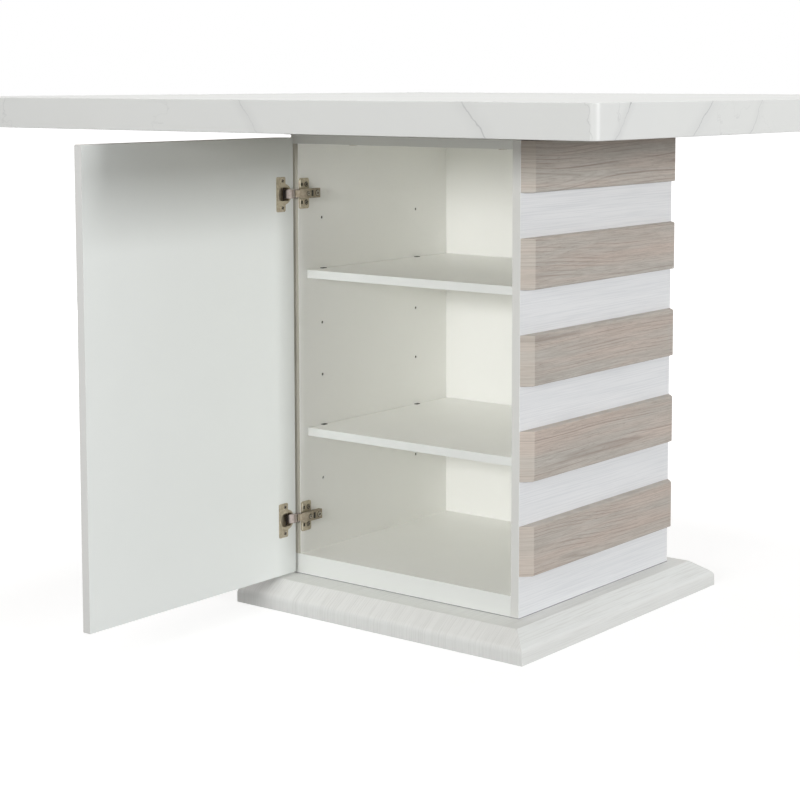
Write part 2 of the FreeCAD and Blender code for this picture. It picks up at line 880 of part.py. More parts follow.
def plinth_profile(reach):
    # The plinth's moulded outline: edge, rounded nose, bevel and ledge, as a closed face in XZ
    ledge = reach - plinth_bevel_run
    rise = plinth_height - plinth_edge_height
    slope = math.hypot(plinth_bevel_run, rise)
    turn = math.atan2(plinth_bevel_run, rise)
    tangent = plinth_nose_radius * math.tan(turn / 2)
    start = point(reach, 0, plinth_edge_height - tangent)
    end = point(reach - tangent * plinth_bevel_run / slope, 0, plinth_edge_height + tangent * rise / slope)
    centre = point(reach - plinth_nose_radius, 0, start.z)
    middle = centre + point(math.cos(turn / 2), 0, math.sin(turn / 2)) * plinth_nose_radius
    mirrored = [point(-p.x, p.y, p.z) for p in (start, middle, end)]
    edges = [
        Part.LineSegment(point(-reach, 0, 0), point(reach, 0, 0)).toShape(),
        Part.LineSegment(point(reach, 0, 0), start).toShape(),
        Part.Arc(start, middle, end).toShape(),
        Part.LineSegment(end, point(ledge, 0, plinth_height)).toShape(),
        Part.LineSegment(point(ledge, 0, plinth_height), point(-ledge, 0, plinth_height)).toShape(),
        Part.LineSegment(point(-ledge, 0, plinth_height), mirrored[2]).toShape(),
        Part.Arc(mirrored[2], mirrored[1], mirrored[0]).toShape(),
        Part.LineSegment(mirrored[0], point(-reach, 0, 0)).toShape(),
    ]
    return Part.Face(Part.Wire(edges))


def plinth_pieces():
    # The moulded plinth, its core rails, its bottom board and the bolts up into the column
    reach = column_side / 2 + plinth_overhang
    profile = plinth_profile(reach)
    along_y = profile.copy()
    along_y.translate(point(0, -reach, 0))
    along_y = along_y.extrude(BACK * (2 * reach))
    along_x = profile.copy()
    along_x.rotate(point(0, 0, 0), UP, 90)
    along_x.translate(point(-reach, 0, 0))
    along_x = along_x.extrude(RIGHT * (2 * reach))
    shell = along_y.common(along_x).removeSplitter()
    hollow = reach - plinth_rim
    board_half = hollow + plinth_bottom_rebate
    cavity_top = plinth_height - plinth_skin
    cavity = block((-hollow, hollow), (-hollow, hollow), (-overrun, cavity_top))
    seat_span = (-board_half, board_half)
    rebate = block(seat_span, seat_span, (-overrun, plinth_bottom_thickness))
    bolts, passages, access = [], [], []
    for x, y in base_bolt_places():
        seat = point(x, y, cavity_top)
        tip = point(x, y, column_bottom + base_bolt_grip)
        head = rod(base_bolt_head_radius, seat - UP * base_bolt_head_height, seat)
        bolts.append(fuse([head, rod(base_bolt_radius, seat, tip)]))
        passages.append(bore(base_bolt_radius, seat, tip))
        access.append(rod(base_bolt_access_radius, point(x, y, -overrun), seat))
    shell = cut(shell, [cavity, rebate] + passages)
    fit = board_half - seat_clearance
    board = cut(block((-fit, fit), (-fit, fit), (0, plinth_bottom_thickness)), access)
    rails = []
    for offset in (-plinth_rail_offset, plinth_rail_offset):
        span = about(offset, plinth_rail_width)
        rails.append(block(span, (-hollow, hollow), (plinth_bottom_thickness, cavity_top)))
    return {
        "base_plinth": shell,
        "base_core_rails": group(rails),
        "base_bottom_board": board,
        "base_bolts": group(bolts),
    }


def all_pieces():
    pieces = top_pieces()
    mounting, board_nuts, screw_holes = mounting_pieces()
    pieces.update(mounting)
    column, base_nuts = column_pieces()
    pieces.update(column)
    pieces["insert_nuts"] = group(board_nuts + base_nuts)
    pieces.update(slat_pieces())
    pieces.update(shelf_pieces())
    pieces.update(door_pieces())
    pieces.update(hinge_pieces())
    pieces.update(plinth_pieces())
    for name in ("table_top_underside", "table_top_core_rails"):
        pieces[name] = cut(pieces[name], screw_holes)
    pieces["side_panel_left"] = cut(pieces["side_panel_left"], plate_screw_holes())
    return pieces


os.makedirs("parts", exist_ok=True)
for node, shape in all_pieces().items():
    shape.exportStep("parts/%s.step" % node)
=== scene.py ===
"""Looks of a pedestal table at bar height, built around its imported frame.

The square top, the cupboard column with its slats and shelves, the door on its
two concealed hinges and the moulded plinth keep their solids. This script gives
them their finishes and softened edges, adds edge bands and hinge details, and
sets up the floor, the lamps and the camera. Lengths are metres.
"""

import json
import logging
import math
from dataclasses import dataclass, field
from enum import Enum
from typing import List, Mapping, Optional, Sequence, Tuple, Type, Union

import bmesh
import bpy
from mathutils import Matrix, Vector

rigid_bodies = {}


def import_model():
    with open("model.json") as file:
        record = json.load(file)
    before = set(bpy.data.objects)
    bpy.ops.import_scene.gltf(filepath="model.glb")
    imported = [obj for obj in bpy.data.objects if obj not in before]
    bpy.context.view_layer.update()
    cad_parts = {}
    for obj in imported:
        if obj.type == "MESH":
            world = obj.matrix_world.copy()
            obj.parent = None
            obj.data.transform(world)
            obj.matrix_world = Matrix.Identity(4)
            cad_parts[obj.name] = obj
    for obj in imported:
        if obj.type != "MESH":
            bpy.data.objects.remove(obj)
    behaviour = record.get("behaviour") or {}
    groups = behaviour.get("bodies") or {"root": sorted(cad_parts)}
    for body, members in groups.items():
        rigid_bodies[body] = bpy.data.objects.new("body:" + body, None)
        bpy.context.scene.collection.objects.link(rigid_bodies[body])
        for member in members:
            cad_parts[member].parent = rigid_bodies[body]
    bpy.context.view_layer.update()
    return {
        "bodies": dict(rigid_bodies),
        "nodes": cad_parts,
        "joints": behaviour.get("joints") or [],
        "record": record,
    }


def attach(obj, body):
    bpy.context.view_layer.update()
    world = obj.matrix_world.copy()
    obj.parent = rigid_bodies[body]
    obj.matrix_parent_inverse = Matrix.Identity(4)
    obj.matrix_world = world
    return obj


LOG = logging.getLogger("bar_table")

Socket = bpy.types.NodeSocket
Feed = Union[float, int, Sequence[float], Socket]
Colour = Tuple[float, float, float, float]
Point = Tuple[float, float]
Span = Tuple[float, float]
Pair = Tuple[float, float]
Triple = Tuple[float, float, float]
Box = Tuple[Span, Span, Span]
Outline = Tuple[Point, ...]


def linear(level: float) -> float:
    """Turns one screen level from 0 to 255 into linear light."""
    share = level / 255.0
    return share / 12.92 if share <= 0.04045 else ((share + 0.055) / 1.055) ** 2.4


def paint(red: float, green: float, blue: float) -> Colour:
    """Turns three screen levels into a linear colour."""
    return (linear(red), linear(green), linear(blue), 1.0)


def around(middle: float, reach: float) -> Span:
    """Returns the span that reaches as far to both sides of its middle."""
    return (middle - reach, middle + reach)


class Axis(Enum):
    """A level axis of the table's frame."""

    X = 0
    Y = 1


class Body(Enum):
    """The bodies that the added pieces ride on."""

    CABINET = "cabinet"
    DOOR = "door"


class Graph:
    """Adds, feeds and joins the nodes of one node tree."""

    def __init__(self, tree: bpy.types.NodeTree) -> None:
        """Keeps the tree to work in."""
        self.tree = tree

    def feed(self, socket: Socket, value: Feed) -> None:
        """Links a socket to another one, or sets its own value.

        Args:
            socket: The input to feed.
            value: An output socket, a number or a row of numbers.
        """
        if isinstance(value, bpy.types.NodeSocket):
            self.tree.links.new(value, socket)
        else:
            socket.default_value = value

    def add(
        self,
        kind: str,
        feeds: Optional[Mapping[Union[int, str], Feed]] = None,
        **settings: object,
    ) -> bpy.types.Node:
        """Adds one node.

        Args:
            kind: Blender's name of the node type.
            feeds: What each input takes, by name or number.
            **settings: The node's own properties.

        Returns:
            The new node.
        """
        node = self.tree.nodes.new(kind)
        for name, value in settings.items():
            setattr(node, name, value)
        for key, value in (feeds or {}).items():
            self.feed(node.inputs[key], value)
        return node

    def math(self, operation: str, *values: Feed) -> Socket:
        """Returns the result of one math node on one, two or three values."""
        return self.add("ShaderNodeMath", dict(enumerate(values)), operation=operation).outputs[0]

    def times(self, first: Feed, second: Feed) -> Socket:
        """Returns the product of two values."""
        return self.math("MULTIPLY", first, second)

    def minus(self, first: Feed, second: Feed) -> Socket:
        """Returns the first value less the second."""
        return self.math("SUBTRACT", first, second)

    def grown(self, value: Feed, share: Feed, other: Feed) -> Socket:
        """Returns a value grown by a share of another one."""
        return self.math("MULTIPLY_ADD", other, share, value)

    def size(self, value: Feed) -> Socket:
        """Returns a value without its sign."""
        return self.math("ABSOLUTE", value)

    def vector(self, operation: str, *values: Feed) -> bpy.types.Node:
        """Returns one vector math node fed with the values in order."""
        return self.add("ShaderNodeVectorMath", dict(enumerate(values)), operation=operation)

    def stretch(self, vector: Feed, factors: Sequence[float]) -> Socket:
        """Returns a vector with each of its parts multiplied."""
        return self.vector("MULTIPLY", vector, tuple(factors)).outputs[0]

    def scale(self, vector: Feed, factor: Feed) -> Socket:
        """Returns a vector with all its parts times one factor."""
        node = self.add("ShaderNodeVectorMath", {0: vector, "Scale": factor}, operation="SCALE")
        return node.outputs[0]

    def split(self, vector: Feed) -> List[Socket]:
        """Returns a vector's three parts."""
        return list(self.add("ShaderNodeSeparateXYZ", {0: vector}).outputs)

    def join(self, *parts: Feed) -> Socket:
        """Returns a vector made of up to three parts."""
        return self.add("ShaderNodeCombineXYZ", dict(enumerate(parts))).outputs[0]

    def facing(self) -> List[Socket]:
        """Returns the way the surface faces, in the piece's own frame."""
        return self.split(self.add("ShaderNodeTexCoord").outputs["Normal"])

    def noise(self, vector: Feed, scale: float = 1.0, detail: float = 2.0,
              roughness: float = 0.5, distortion: float = 0.0) -> Socket:
        """Adds a noise texture.

        Args:
            vector: Where it is read.
            scale: Its cells per metre.
            detail: Its number of finer layers.
            roughness: The share of each finer layer.
            distortion: How far it bends itself.

        Returns:
            The noise, from 0 to 1 about 0.5.
        """
        feeds = {
            "Vector": vector,
            "Scale": scale,
            "Detail": detail,
            "Roughness": roughness,
            "Distortion": distortion,
        }
        return self.add("ShaderNodeTexNoise", feeds).outputs["Fac"]

    def sway(self, vector: Feed, **settings: float) -> Socket:
        """Returns a noise about zero, given the noise's own settings."""
        return self.minus(self.noise(vector, **settings), 0.5)

    def remap(self, value: Feed, low: float, high: float,
              to_low: float = 0.0, to_high: float = 1.0) -> Socket:
        """Moves a value smoothly from one span to another, held at the ends.

        Args:
            value: The value to move.
            low: Where the first span starts.
            high: Where the first span ends.
            to_low: The result at low.
            to_high: The result at high.

        Returns:
            The moved value.
        """
        feeds = {0: value, 1: low, 2: high, 3: to_low, 4: to_high}
        return self.add("ShaderNodeMapRange", feeds, interpolation_type="SMOOTHSTEP").outputs[0]

    def mix(self, share: Feed, first: Feed, second: Feed) -> Socket:
        """Mixes two colours.

        Args:
            share: How much of the second one, from 0 to 1.
            first: The colour at 0.
            second: The colour at 1.

        Returns:
            The mixed colour.
        """
        feeds = {0: share, 6: first, 7: second}
        return self.add("ShaderNodeMix", feeds, data_type="RGBA").outputs[2]


class Effect:
    """A surface effect that several finishes share, built once as a node group.

    Each group reads a place, named Vector, and the numbers in takes, with what
    they are where a finish says nothing else.
    """

    title: str = "effect"
    takes: Mapping[str, float] = {}
    gives: Tuple[str, ...] = ()

    def __init__(self) -> None:
        """Finds the group's tree, or makes and wires it the first time."""
        groups = bpy.data.node_groups
        is_new = self.title not in groups
        self.tree = groups.new(self.title, "ShaderNodeTree") if is_new else groups[self.title]
        self.graph = Graph(self.tree)
        if is_new:
            self.open_sockets()
            self.given = self.graph.add("NodeGroupInput").outputs
            self.results = self.graph.add("NodeGroupOutput").inputs
            self.wire()

    def open_sockets(self) -> None:
        """Gives the group its named inputs and outputs."""
        plan = self.tree.interface
        plan.new_socket("Vector", in_out="INPUT", socket_type="NodeSocketVector")
        for name, usual in self.takes.items():
            number = plan.new_socket(name, in_out="INPUT", socket_type="NodeSocketFloat")
            number.default_value = usual
        for name in self.gives:
            plan.new_socket(name, in_out="OUTPUT", socket_type="NodeSocketFloat")

    def wire(self) -> None:
        """Builds the inside of the group."""
        raise NotImplementedError

    def give(self, name: str, value: Socket) -> None:
        """Feeds one of the group's outputs."""
        self.graph.feed(self.results[name], value)

    def place(self, graph: Graph, **values: Feed) -> Mapping[str, Socket]:
        """Puts the group into a material.

        Args:
            graph: The material's graph.
            **values: What the group's inputs take.

        Returns:
            The group's outputs by name.
        """
        node = graph.add("ShaderNodeGroup", values, node_tree=self.tree)
        return {name: node.outputs[name] for name in self.gives}


class FibreLines(Effect):
    """Long fine lines along the first part of the place, with broad soft bands.

    Lines is their number per metre, Run how short they are, and Waver how far
    they stray sideways.
    """

    title = "fibre_lines"
    takes = {"Lines": 400.0, "Run": 0.02, "Waver": 0.002}
    gives = ("Fine", "Broad")
    waves: Pair = (2.3, 7.0)
    band_stretch: Triple = (0.5, 0.11, 0.11)

    def wire(self) -> None:
        """Builds the fine lines and the broad bands."""
        graph, given = self.graph, self.given
        along, across, depth = graph.split(given["Vector"])
        slow = [graph.times(part, wave) for part, wave in zip((along, across), self.waves)]
        stray = graph.sway(graph.join(*slow, depth), detail=1.0)
        across = graph.grown(across, given["Waver"], stray)
        run = graph.join(graph.times(along, given["Run"]), across, depth)
        place = graph.scale(run, given["Lines"])
        fine = graph.noise(place, detail=3.0, roughness=0.6)
        broad = graph.noise(graph.stretch(place, self.band_stretch), roughness=0.55)
        self.give("Fine", graph.remap(fine, 0.3, 0.7))
        self.give("Broad", graph.remap(broad, 0.3, 0.7))


class FlatSawnFigure(Effect):
    """The figure of flat sawn oak: long arches along the slat, pores and tones.

    Pitch and Centre say where the slats lie, and Ring is the width of a year.
    A tree's middle swings from slat to slat and strays along each one, by moves
    that each have a stretch, a detail and a reach in metres.
    """

    title = "flat_sawn_figure"
    takes = {"Pitch": 0.16, "Centre": 0.1625, "Ring": 0.0058}
    gives = ("Rings", "Tone", "Pores")
    swing: float = 0.055
    swing_step: float = 2.1
    swing_start: float = 0.8
    side_seed: float = 7.31
    moves: Tuple[Tuple[Triple, float, float], ...] = (
        ((1.6, 0.3, 1.0), 1.0, 0.08),
        ((5.0, 26.0, 6.0), 2.0, 0.0025),
        ((22.0, 150.0, 30.0), 2.0, 0.0006),
    )
    cut_depth: float = 0.016
    cut_change: float = 0.032
    cut_offset: Triple = (5.3, 1.7, 9.1)
    cut_stretch: Triple = (1.6, 0.3, 1.0)
    year_noise: float = 90.0
    year_spread: float = 1.6
    late_wood: float = 9.0
    close_rings: float = 2.7
    close_sharpness: float = 3.0
    close_share: float = 0.30
    strength_stretch: Triple = (3.4, 60.0, 10.0)
    tone_stretch: Triple = (2.0, 30.0, 6.0)
    pore_stretch: Triple = (60.0, 1000.0, 120.0)

    def reach(self, offset: Socket, number: Socket, board: Socket) -> Socket:
        """Builds how far the surface is from the middle of its tree.

        Args:
            offset: How far it is from the slat's middle line.
            number: The slat's number.
            board: The place, moved apart for each slat.

        Returns:
            The distance, in metres.
        """
        graph = self.graph
        turn = graph.math("SINE", graph.grown(self.swing_start, self.swing_step, number))
        place = graph.grown(offset, self.swing, turn)
        for stretch, detail, far in self.moves:
            stray = graph.sway(graph.stretch(board, stretch), detail=detail)
            place = graph.grown(place, far, stray)
        other = graph.vector("ADD", board, self.cut_offset).outputs[0]
        lift = graph.sway(graph.stretch(other, self.cut_stretch), detail=1.0)
        cut = graph.grown(self.cut_depth, self.cut_change, lift)
        return graph.math("SQRT", graph.grown(graph.times(cut, cut), place, place))

    def peaks(self, turns: Socket, sharpness: float) -> Socket:
        """Returns a wave from 0 to 1 with its peaks made narrow."""
        wave = self.graph.math("SINE", turns)
        return self.graph.math("POWER", self.graph.grown(0.5, 0.5, wave), sharpness)

    def wire(self) -> None:
        """Builds the year rings, the slow changes of tone and the pores."""
        graph, given = self.graph, self.given
        along, across, depth = graph.split(given["Vector"])
        step = graph.math("DIVIDE", graph.minus(across, given["Centre"]), given["Pitch"])
        number = graph.math("ROUND", step)
        offset = graph.times(graph.minus(step, number), given["Pitch"])
        seed = graph.grown(graph.math("SIGN", depth), self.side_seed, number)
        board = graph.join(graph.math("ADD", along, seed), graph.math("ADD", across, seed), seed)
        reach = self.reach(offset, number, board)
        years = graph.noise(graph.join(graph.times(reach, self.year_noise), seed, 0.0), detail=1.0)
        turns = graph.grown(graph.math("DIVIDE", reach, given["Ring"]), self.year_spread, years)
        turns = graph.times(turns, math.tau)
        strength = graph.noise(graph.stretch(board, self.strength_stretch))
        wide = graph.times(self.peaks(turns, self.late_wood), graph.remap(strength, 0.38, 0.64))
        close = self.peaks(graph.times(turns, self.close_rings), self.close_sharpness)
        tone = graph.noise(graph.stretch(board, self.tone_stretch), detail=3.0, roughness=0.6)
        dashes = graph.noise(graph.stretch(board, self.pore_stretch), roughness=0.6)
        self.give("Rings", graph.grown(wide, self.close_share, close))
        self.give("Tone", graph.remap(tone, 0.34, 0.66))
        self.give("Pores", graph.remap(dashes, 0.56, 0.7))


class EdgeWearAndShade(Effect):
    """A mask that is 1 along sharp outer edges, broken up a little, used for edge wear and for a
    painted dark reflection on metal edges.
    """

    title = "edge_wear_and_shade_mask"
    takes = {"Radius": 0.001}
    gives = ("Mask",)

    def wire(self) -> None:
        """Compares the rounded normal with the face's own one."""
        graph = self.graph
        rounded = graph.add("ShaderNodeBevel", {"Radius": self.given["Radius"]}, samples=4)
        own = graph.add("ShaderNodeNewGeometry").outputs["Normal"]
        agreement = graph.vector("DOT_PRODUCT", rounded.outputs[0], own).outputs["Value"]
        patches = graph.noise(self.given["Vector"], scale=180.0, detail=3.0, roughness=0.6)
        broken = graph.remap(patches, 0.35, 0.65, 0.35, 1.0)
        self.give("Mask", graph.times(graph.remap(agreement, 0.995, 0.86), broken))


class Mottle(Effect):
    """Soft clouds of a given size and fine specks, for gloss that isn't quite even."""

    title = "mottle"
    takes = {"Size": 0.05}
    gives = ("Clouds", "Specks")

    def wire(self) -> None:
        """Builds the clouds and the specks."""
        graph, place = self.graph, self.given["Vector"]
        scaled = graph.scale(place, graph.math("DIVIDE", 1.0, self.given["Size"]))
        clouds = graph.noise(scaled, detail=3.0, roughness=0.55)
        specks = graph.noise(place, scale=900.0, detail=1.0)
        self.give("Clouds", graph.remap(clouds, 0.3, 0.7))
        self.give("Specks", graph.remap(specks, 0.66, 0.76))


class PressedSkin(Effect):
    """The faint pebbled relief of a pressed or sprayed surface."""

    title = "pressed_skin"
    takes = {"Size": 0.0012}
    gives = ("Height",)

    def wire(self) -> None:
        """Builds two layers of rounded pebbles."""
        graph = self.graph
        scaled = graph.scale(self.given["Vector"], graph.math("DIVIDE", 1.0, self.given["Size"]))
        coarse = graph.noise(scaled, scale=0.12, detail=1.0)
        self.give("Height", graph.grown(graph.noise(scaled, detail=1.0), 2.0, coarse))


class SettledDust(Effect):
    """Pale dust that has settled on faces that look up."""

    title = "settled_dust"
    takes = {"Amount": 0.5}
    gives = ("Mask",)

    def wire(self) -> None:
        """Builds a thin cover with thinner patches."""
        graph = self.graph
        up = graph.split(graph.add("ShaderNodeNewGeometry").outputs["Normal"])[2]
        cover = graph.times(graph.remap(up, 0.35, 0.95), self.given["Amount"])
        patches = graph.noise(self.given["Vector"], scale=26.0, detail=4.0, roughness=0.6)
        self.give("Mask", graph.times(cover, graph.remap(patches, 0.32, 0.64, 0.6, 1.0)))


class Coat:
    """The surface of one material while its finish is laid on it."""

    def __init__(self, tree: bpy.types.NodeTree, finish: "Finish") -> None:
        """Starts from the finish's own colour, gloss and metal.

        Args:
            tree: The material's empty tree.
            finish: The finish to start from.
        """
        self.graph = Graph(tree)
        self.shader = self.graph.add("ShaderNodeBsdfPrincipled")
        self.shader.inputs["Metallic"].default_value = finish.metallic
        self.shader.inputs["Specular IOR Level"].default_value = finish.specular
        self.graph.add("ShaderNodeOutputMaterial", {"Surface": self.shader.outputs[0]})
        self.place = self.graph.add("ShaderNodeTexCoord").outputs["Object"]
        self.base: Feed = finish.colour
        self.rough: Feed = finish.roughness
        self.edge_mask_radius = finish.edge_mask_radius

    def effect(self, kind: Type[Effect], **values: Feed) -> Mapping[str, Socket]:
        """Places an effect, read at the surface if the values name no other place."""
        return kind().place(self.graph, **{"Vector": self.place, **values})

    def lay(self, mask: Feed, colour: Feed, share: Optional[float] = None) -> None:
        """Lays a colour over what is there.

        Args:
            mask: Where it lies.
            colour: The colour.
            share: How well it covers, or nothing for all.
        """
        cover = mask if share is None else self.graph.times(mask, share)
        self.base = self.graph.mix(cover, self.base, colour)

    def lay_wear_and_shade(self, colour: Colour, share: float) -> None:
        """Lays a colour along the sharp edges: worn edges on the boards, foils and slats, and a
        painted dark reflection on the metal's edges.
        """
        self.lay(self.effect(EdgeWearAndShade, Radius=self.edge_mask_radius)["Mask"], colour, share=share)

    def roughen(self, mask: Feed, share: float, less: float = 0.0) -> None:
        """Makes the surface rougher under a mask, and smoother by an even amount."""
        start = self.rough - less if less else self.rough
        self.rough = self.graph.grown(start, share, mask)

    def seal(self, height: Feed, depth: float) -> None:
        """Feeds the shader with the colour, the gloss and the relief.

        Args:
            height: The relief's height.
            depth: How many metres a height of 1 is.
        """
        relief = {"Height": height, "Distance": depth, "Strength": 1.0}
        normal = self.graph.add("ShaderNodeBump", relief).outputs["Normal"]
        feeds = {"Base Color": self.base, "Roughness": self.rough, "Normal": normal}
        for name, value in feeds.items():
            self.graph.feed(self.shader.inputs[name], value)


@dataclass(frozen=True)
class Finish:
    """A finish of the table, made once as a material."""

    title: str
    slot: str
    colour: Colour
    roughness: float
    specular: float = 0.5
    metallic: float = 0.0
    edge_mask_radius: float = 0.001

    def dress(self, coat: Coat) -> None:
        """Lays the finish.

        Args:
            coat: The coat to lay it on.
        """
        raise NotImplementedError

    def material(self) -> bpy.types.Material:
        """Finds the finish's material, or makes it the first time.

        Returns:
            The material.
        """
        made = bpy.data.materials.get(self.title)
        if made is not None:
            return made
        made = bpy.data.materials.new(self.title)
        made.use_nodes = True
        made.node_tree.nodes.clear()
        self.dress(Coat(made.node_tree, self))
        made.diffuse_color = self.colour
        return made


@dataclass(frozen=True)
class Vein:
    """One vein of the marble pattern: a leaning upright sheet.

    Its heading is in degrees from the X axis, and it meets the plane of the
    table's front edge at start. A short one stays off that edge.
    """

    start: float
    heading: float
    width: float
    strength: float
    short: bool = False


@dataclass(frozen=True)
class MarbleLaminate(Finish):
    """White marble pattern under a satin lacquer, with painted shade on the edges that face along
    Y.
    """

    vein_colour: Colour = paint(142, 143, 146)
    cloud_colour: Colour = paint(219, 220, 220)
    # painted shade: the colour of the edges that face along Y, darker than the edges that face
    # along X
    long_edge_shade_colour: Colour = paint(208, 209, 207)
    worn: Colour = paint(250, 250, 248)
    front_edge: float = -0.686
    edge_middle: float = 0.87
    lean: float = 0.7
    core: Span = (0.1, 0.5)
    core_share: float = 0.8
    halo: float = 8.0
    halo_share: float = 0.12
    off_edge: Span = (0.012, 0.05)
    bend: float = 0.06
    jitter: float = 0.008
    hair_width: float = 0.006
    hair_share: float = 0.26
    cloud_share: float = 0.45
    long_edge_shade_share: float = 0.9
    coat_weight: float = 0.02
    coat_roughness: float = 0.25
    veins: Tuple[Vein, ...] = (
        Vein(0.080, 57.0, 0.0022, 0.75),
        Vein(0.497, 53.0, 0.0030, 0.60),
        Vein(0.640, 50.0, 0.0016, 0.95, short=True),
        Vein(0.352, 52.0, 0.0018, 0.45, short=True),
        Vein(-0.330, 61.0, 0.0026, 0.80, short=True),
        Vein(-0.610, 48.0, 0.0020, 0.55),
        Vein(-0.980, 55.0, 0.0032, 0.85),
        Vein(-1.330, 51.0, 0.0022, 0.70),
    )

    def sheet(self, graph: Graph, vein: Vein, bent: Sequence[Socket]) -> Tuple[Socket, Socket]:
        """Builds one vein.

        Args:
            graph: The material's graph.
            vein: The vein's place and look.
            bent: The bent X, Y and Z of the surface.

        Returns:
            The masks of its thin line and of its soft halo.
        """
        turn = math.radians(vein.heading)
        normal = (math.sin(turn), -math.cos(turn), self.lean * math.sin(turn))
        point = (vein.start, self.front_edge, self.edge_middle)
        total: Feed = -sum(a * b for a, b in zip(normal, point))
        for part, share in zip(bent, normal):
            total = graph.grown(total, share, part)
        apart = graph.size(total)
        near, far = (vein.width * share for share in self.core)
        line = graph.remap(apart, near, far, vein.strength * self.core_share, 0.0)
        soft = vein.strength * self.halo_share
        halo = graph.remap(apart, 0.0, vein.width * self.halo, soft, 0.0)
        if vein.short:
            start, full = (self.front_edge + reach for reach in self.off_edge)
            inside = graph.remap(bent[1], start, full)
            line, halo = graph.times(line, inside), graph.times(halo, inside)
        return line, halo

    def dress(self, coat: Coat) -> None:
        """Lays veins, clouds, painted shade on the edges that face along Y, and the satin lacquer.

        Args:
            coat: The coat to lay them on.
        """
        graph, place = coat.graph, coat.place
        x, y, z = graph.split(place)
        bend = graph.sway(place, scale=3.1, detail=3.0, roughness=0.55)
        jitter = graph.sway(place, scale=38.0, detail=4.0, roughness=0.6)
        pushed = graph.grown(graph.times(jitter, self.jitter), self.bend, bend)
        bent = (graph.math("ADD", x, pushed), graph.minus(y, pushed), z)
        lines: Feed = 0.0
        halos: Feed = 0.0
        for vein in self.veins:
            line, halo = self.sheet(graph, vein, bent)
            lines = graph.math("MAXIMUM", line, lines)
            halos = graph.math("MAXIMUM", halo, halos)
        gaps = graph.noise(place, scale=9.0, detail=3.0, roughness=0.6)
        broken = graph.remap(gaps, 0.33, 0.62, 0.25, 1.0)
        ridge = graph.sway(place, scale=4.6, detail=5.0, roughness=0.58, distortion=0.6)
        hair = graph.remap(graph.size(ridge), 0.0, self.hair_width, self.hair_share, 0.0)
        patch = graph.remap(graph.noise(place, scale=2.3), 0.5, 0.62)
        lines = graph.math("MAXIMUM", graph.times(lines, broken), graph.times(hair, patch))
        clouds = graph.noise(place, scale=3.4, detail=4.0, roughness=0.6, distortion=0.4)
        coat.lay(graph.remap(clouds, 0.45, 0.75, 0.0, self.cloud_share), self.cloud_colour)
        # painted shade: faces that look along Y take the darker edge colour
        sideways = graph.size(graph.facing()[1])
        coat.lay(graph.remap(sideways, 0.45, 0.8, 0.0, self.long_edge_shade_share), self.long_edge_shade_colour)
        coat.lay(halos, self.vein_colour)
        coat.lay(lines, self.vein_colour)
        coat.lay_wear_and_shade(self.worn, share=0.35)
        mottle = coat.effect(Mottle, Size=0.09)
        coat.roughen(mottle["Clouds"], share=0.07, less=0.03)
        coat.roughen(mottle["Specks"], share=0.12)
        coat.seal(coat.effect(PressedSkin, Size=0.0016)["Height"], depth=0.000012)
        coat.shader.inputs["Coat Weight"].default_value = self.coat_weight
        coat.shader.inputs["Coat Roughness"].default_value = self.coat_roughness


@dataclass(frozen=True)
class Board(Finish):
    """Smooth white melamine or lacquer, with a brushed foil on its outer side if it has one, and
    painted shade on its faces that look along Y if it has an edge shade colour.
    """

    tint: Colour = paint(241, 241, 237)
    worn: Colour = paint(247, 247, 244)
    foil_colour: Colour = paint(226, 227, 229)
    line_colour: Colour = paint(213, 215, 218)
    line_share: float = 0.62
    band_share: float = 0.3
    foil_side: Optional[Axis] = None
    # painted shade: a darker colour for the faces that look along Y
    edge_shade_colour: Optional[Colour] = None
    skin_size: float = 0.0014
    skin_depth: float = 0.00001
    line_depth: float = -6.0

    def foil(self, coat: Coat, side: Axis) -> Tuple[Socket, Socket, Socket]:
        """Builds the brushed foil of the outer side.

        Args:
            coat: The coat that it is part of.
            side: The axis that the outer side faces along.

        Returns:
            The foil's colour, its lines and the mask of where it lies.
        """
        graph = coat.graph
        parts = graph.split(coat.place)
        along = parts[1] if side is Axis.X else parts[0]
        place = graph.join(along, parts[2], 0.3)
        fibre = coat.effect(FibreLines, Vector=place, Lines=430.0, Run=0.012, Waver=0.003)
        shade = graph.times(graph.remap(fibre["Fine"], 0.3, 0.95), self.line_share)
        shade = graph.grown(shade, self.band_share, fibre["Broad"])
        colour = graph.mix(shade, self.foil_colour, self.line_colour)
        outward = graph.times(graph.facing()[side.value], graph.math("SIGN", parts[side.value]))
        return colour, fibre["Fine"], graph.math("GREATER_THAN", outward, 0.5)

    def dress(self, coat: Coat) -> None:
        """Lays the smooth skin, the clouds, the painted shade on the faces that look along Y, and
        the foil.

        Args:
            coat: The coat to lay them on.
        """
        graph = coat.graph
        mottle = coat.effect(Mottle, Size=0.16)
        coat.lay(mottle["Clouds"], self.tint, share=0.22)
        coat.lay(mottle["Specks"], self.tint, share=0.10)
        # painted shade: faces that look along Y take the darker edge colour
        if self.edge_shade_colour is not None:
            sideways = graph.size(graph.facing()[1])
            coat.lay(graph.math("GREATER_THAN", sideways, 0.6), self.edge_shade_colour)
        coat.lay_wear_and_shade(self.worn, share=0.3)
        height = coat.effect(PressedSkin, Size=self.skin_size)["Height"]
        coat.roughen(mottle["Clouds"], share=0.06, less=0.03)
        if self.foil_side is not None:
            colour, lines, mask = self.foil(coat, self.foil_side)
            coat.lay(mask, colour)
            height = graph.grown(height, mask, graph.times(lines, self.line_depth))
            coat.roughen(graph.times(mask, lines), share=0.12)
        coat.seal(height, self.skin_depth)


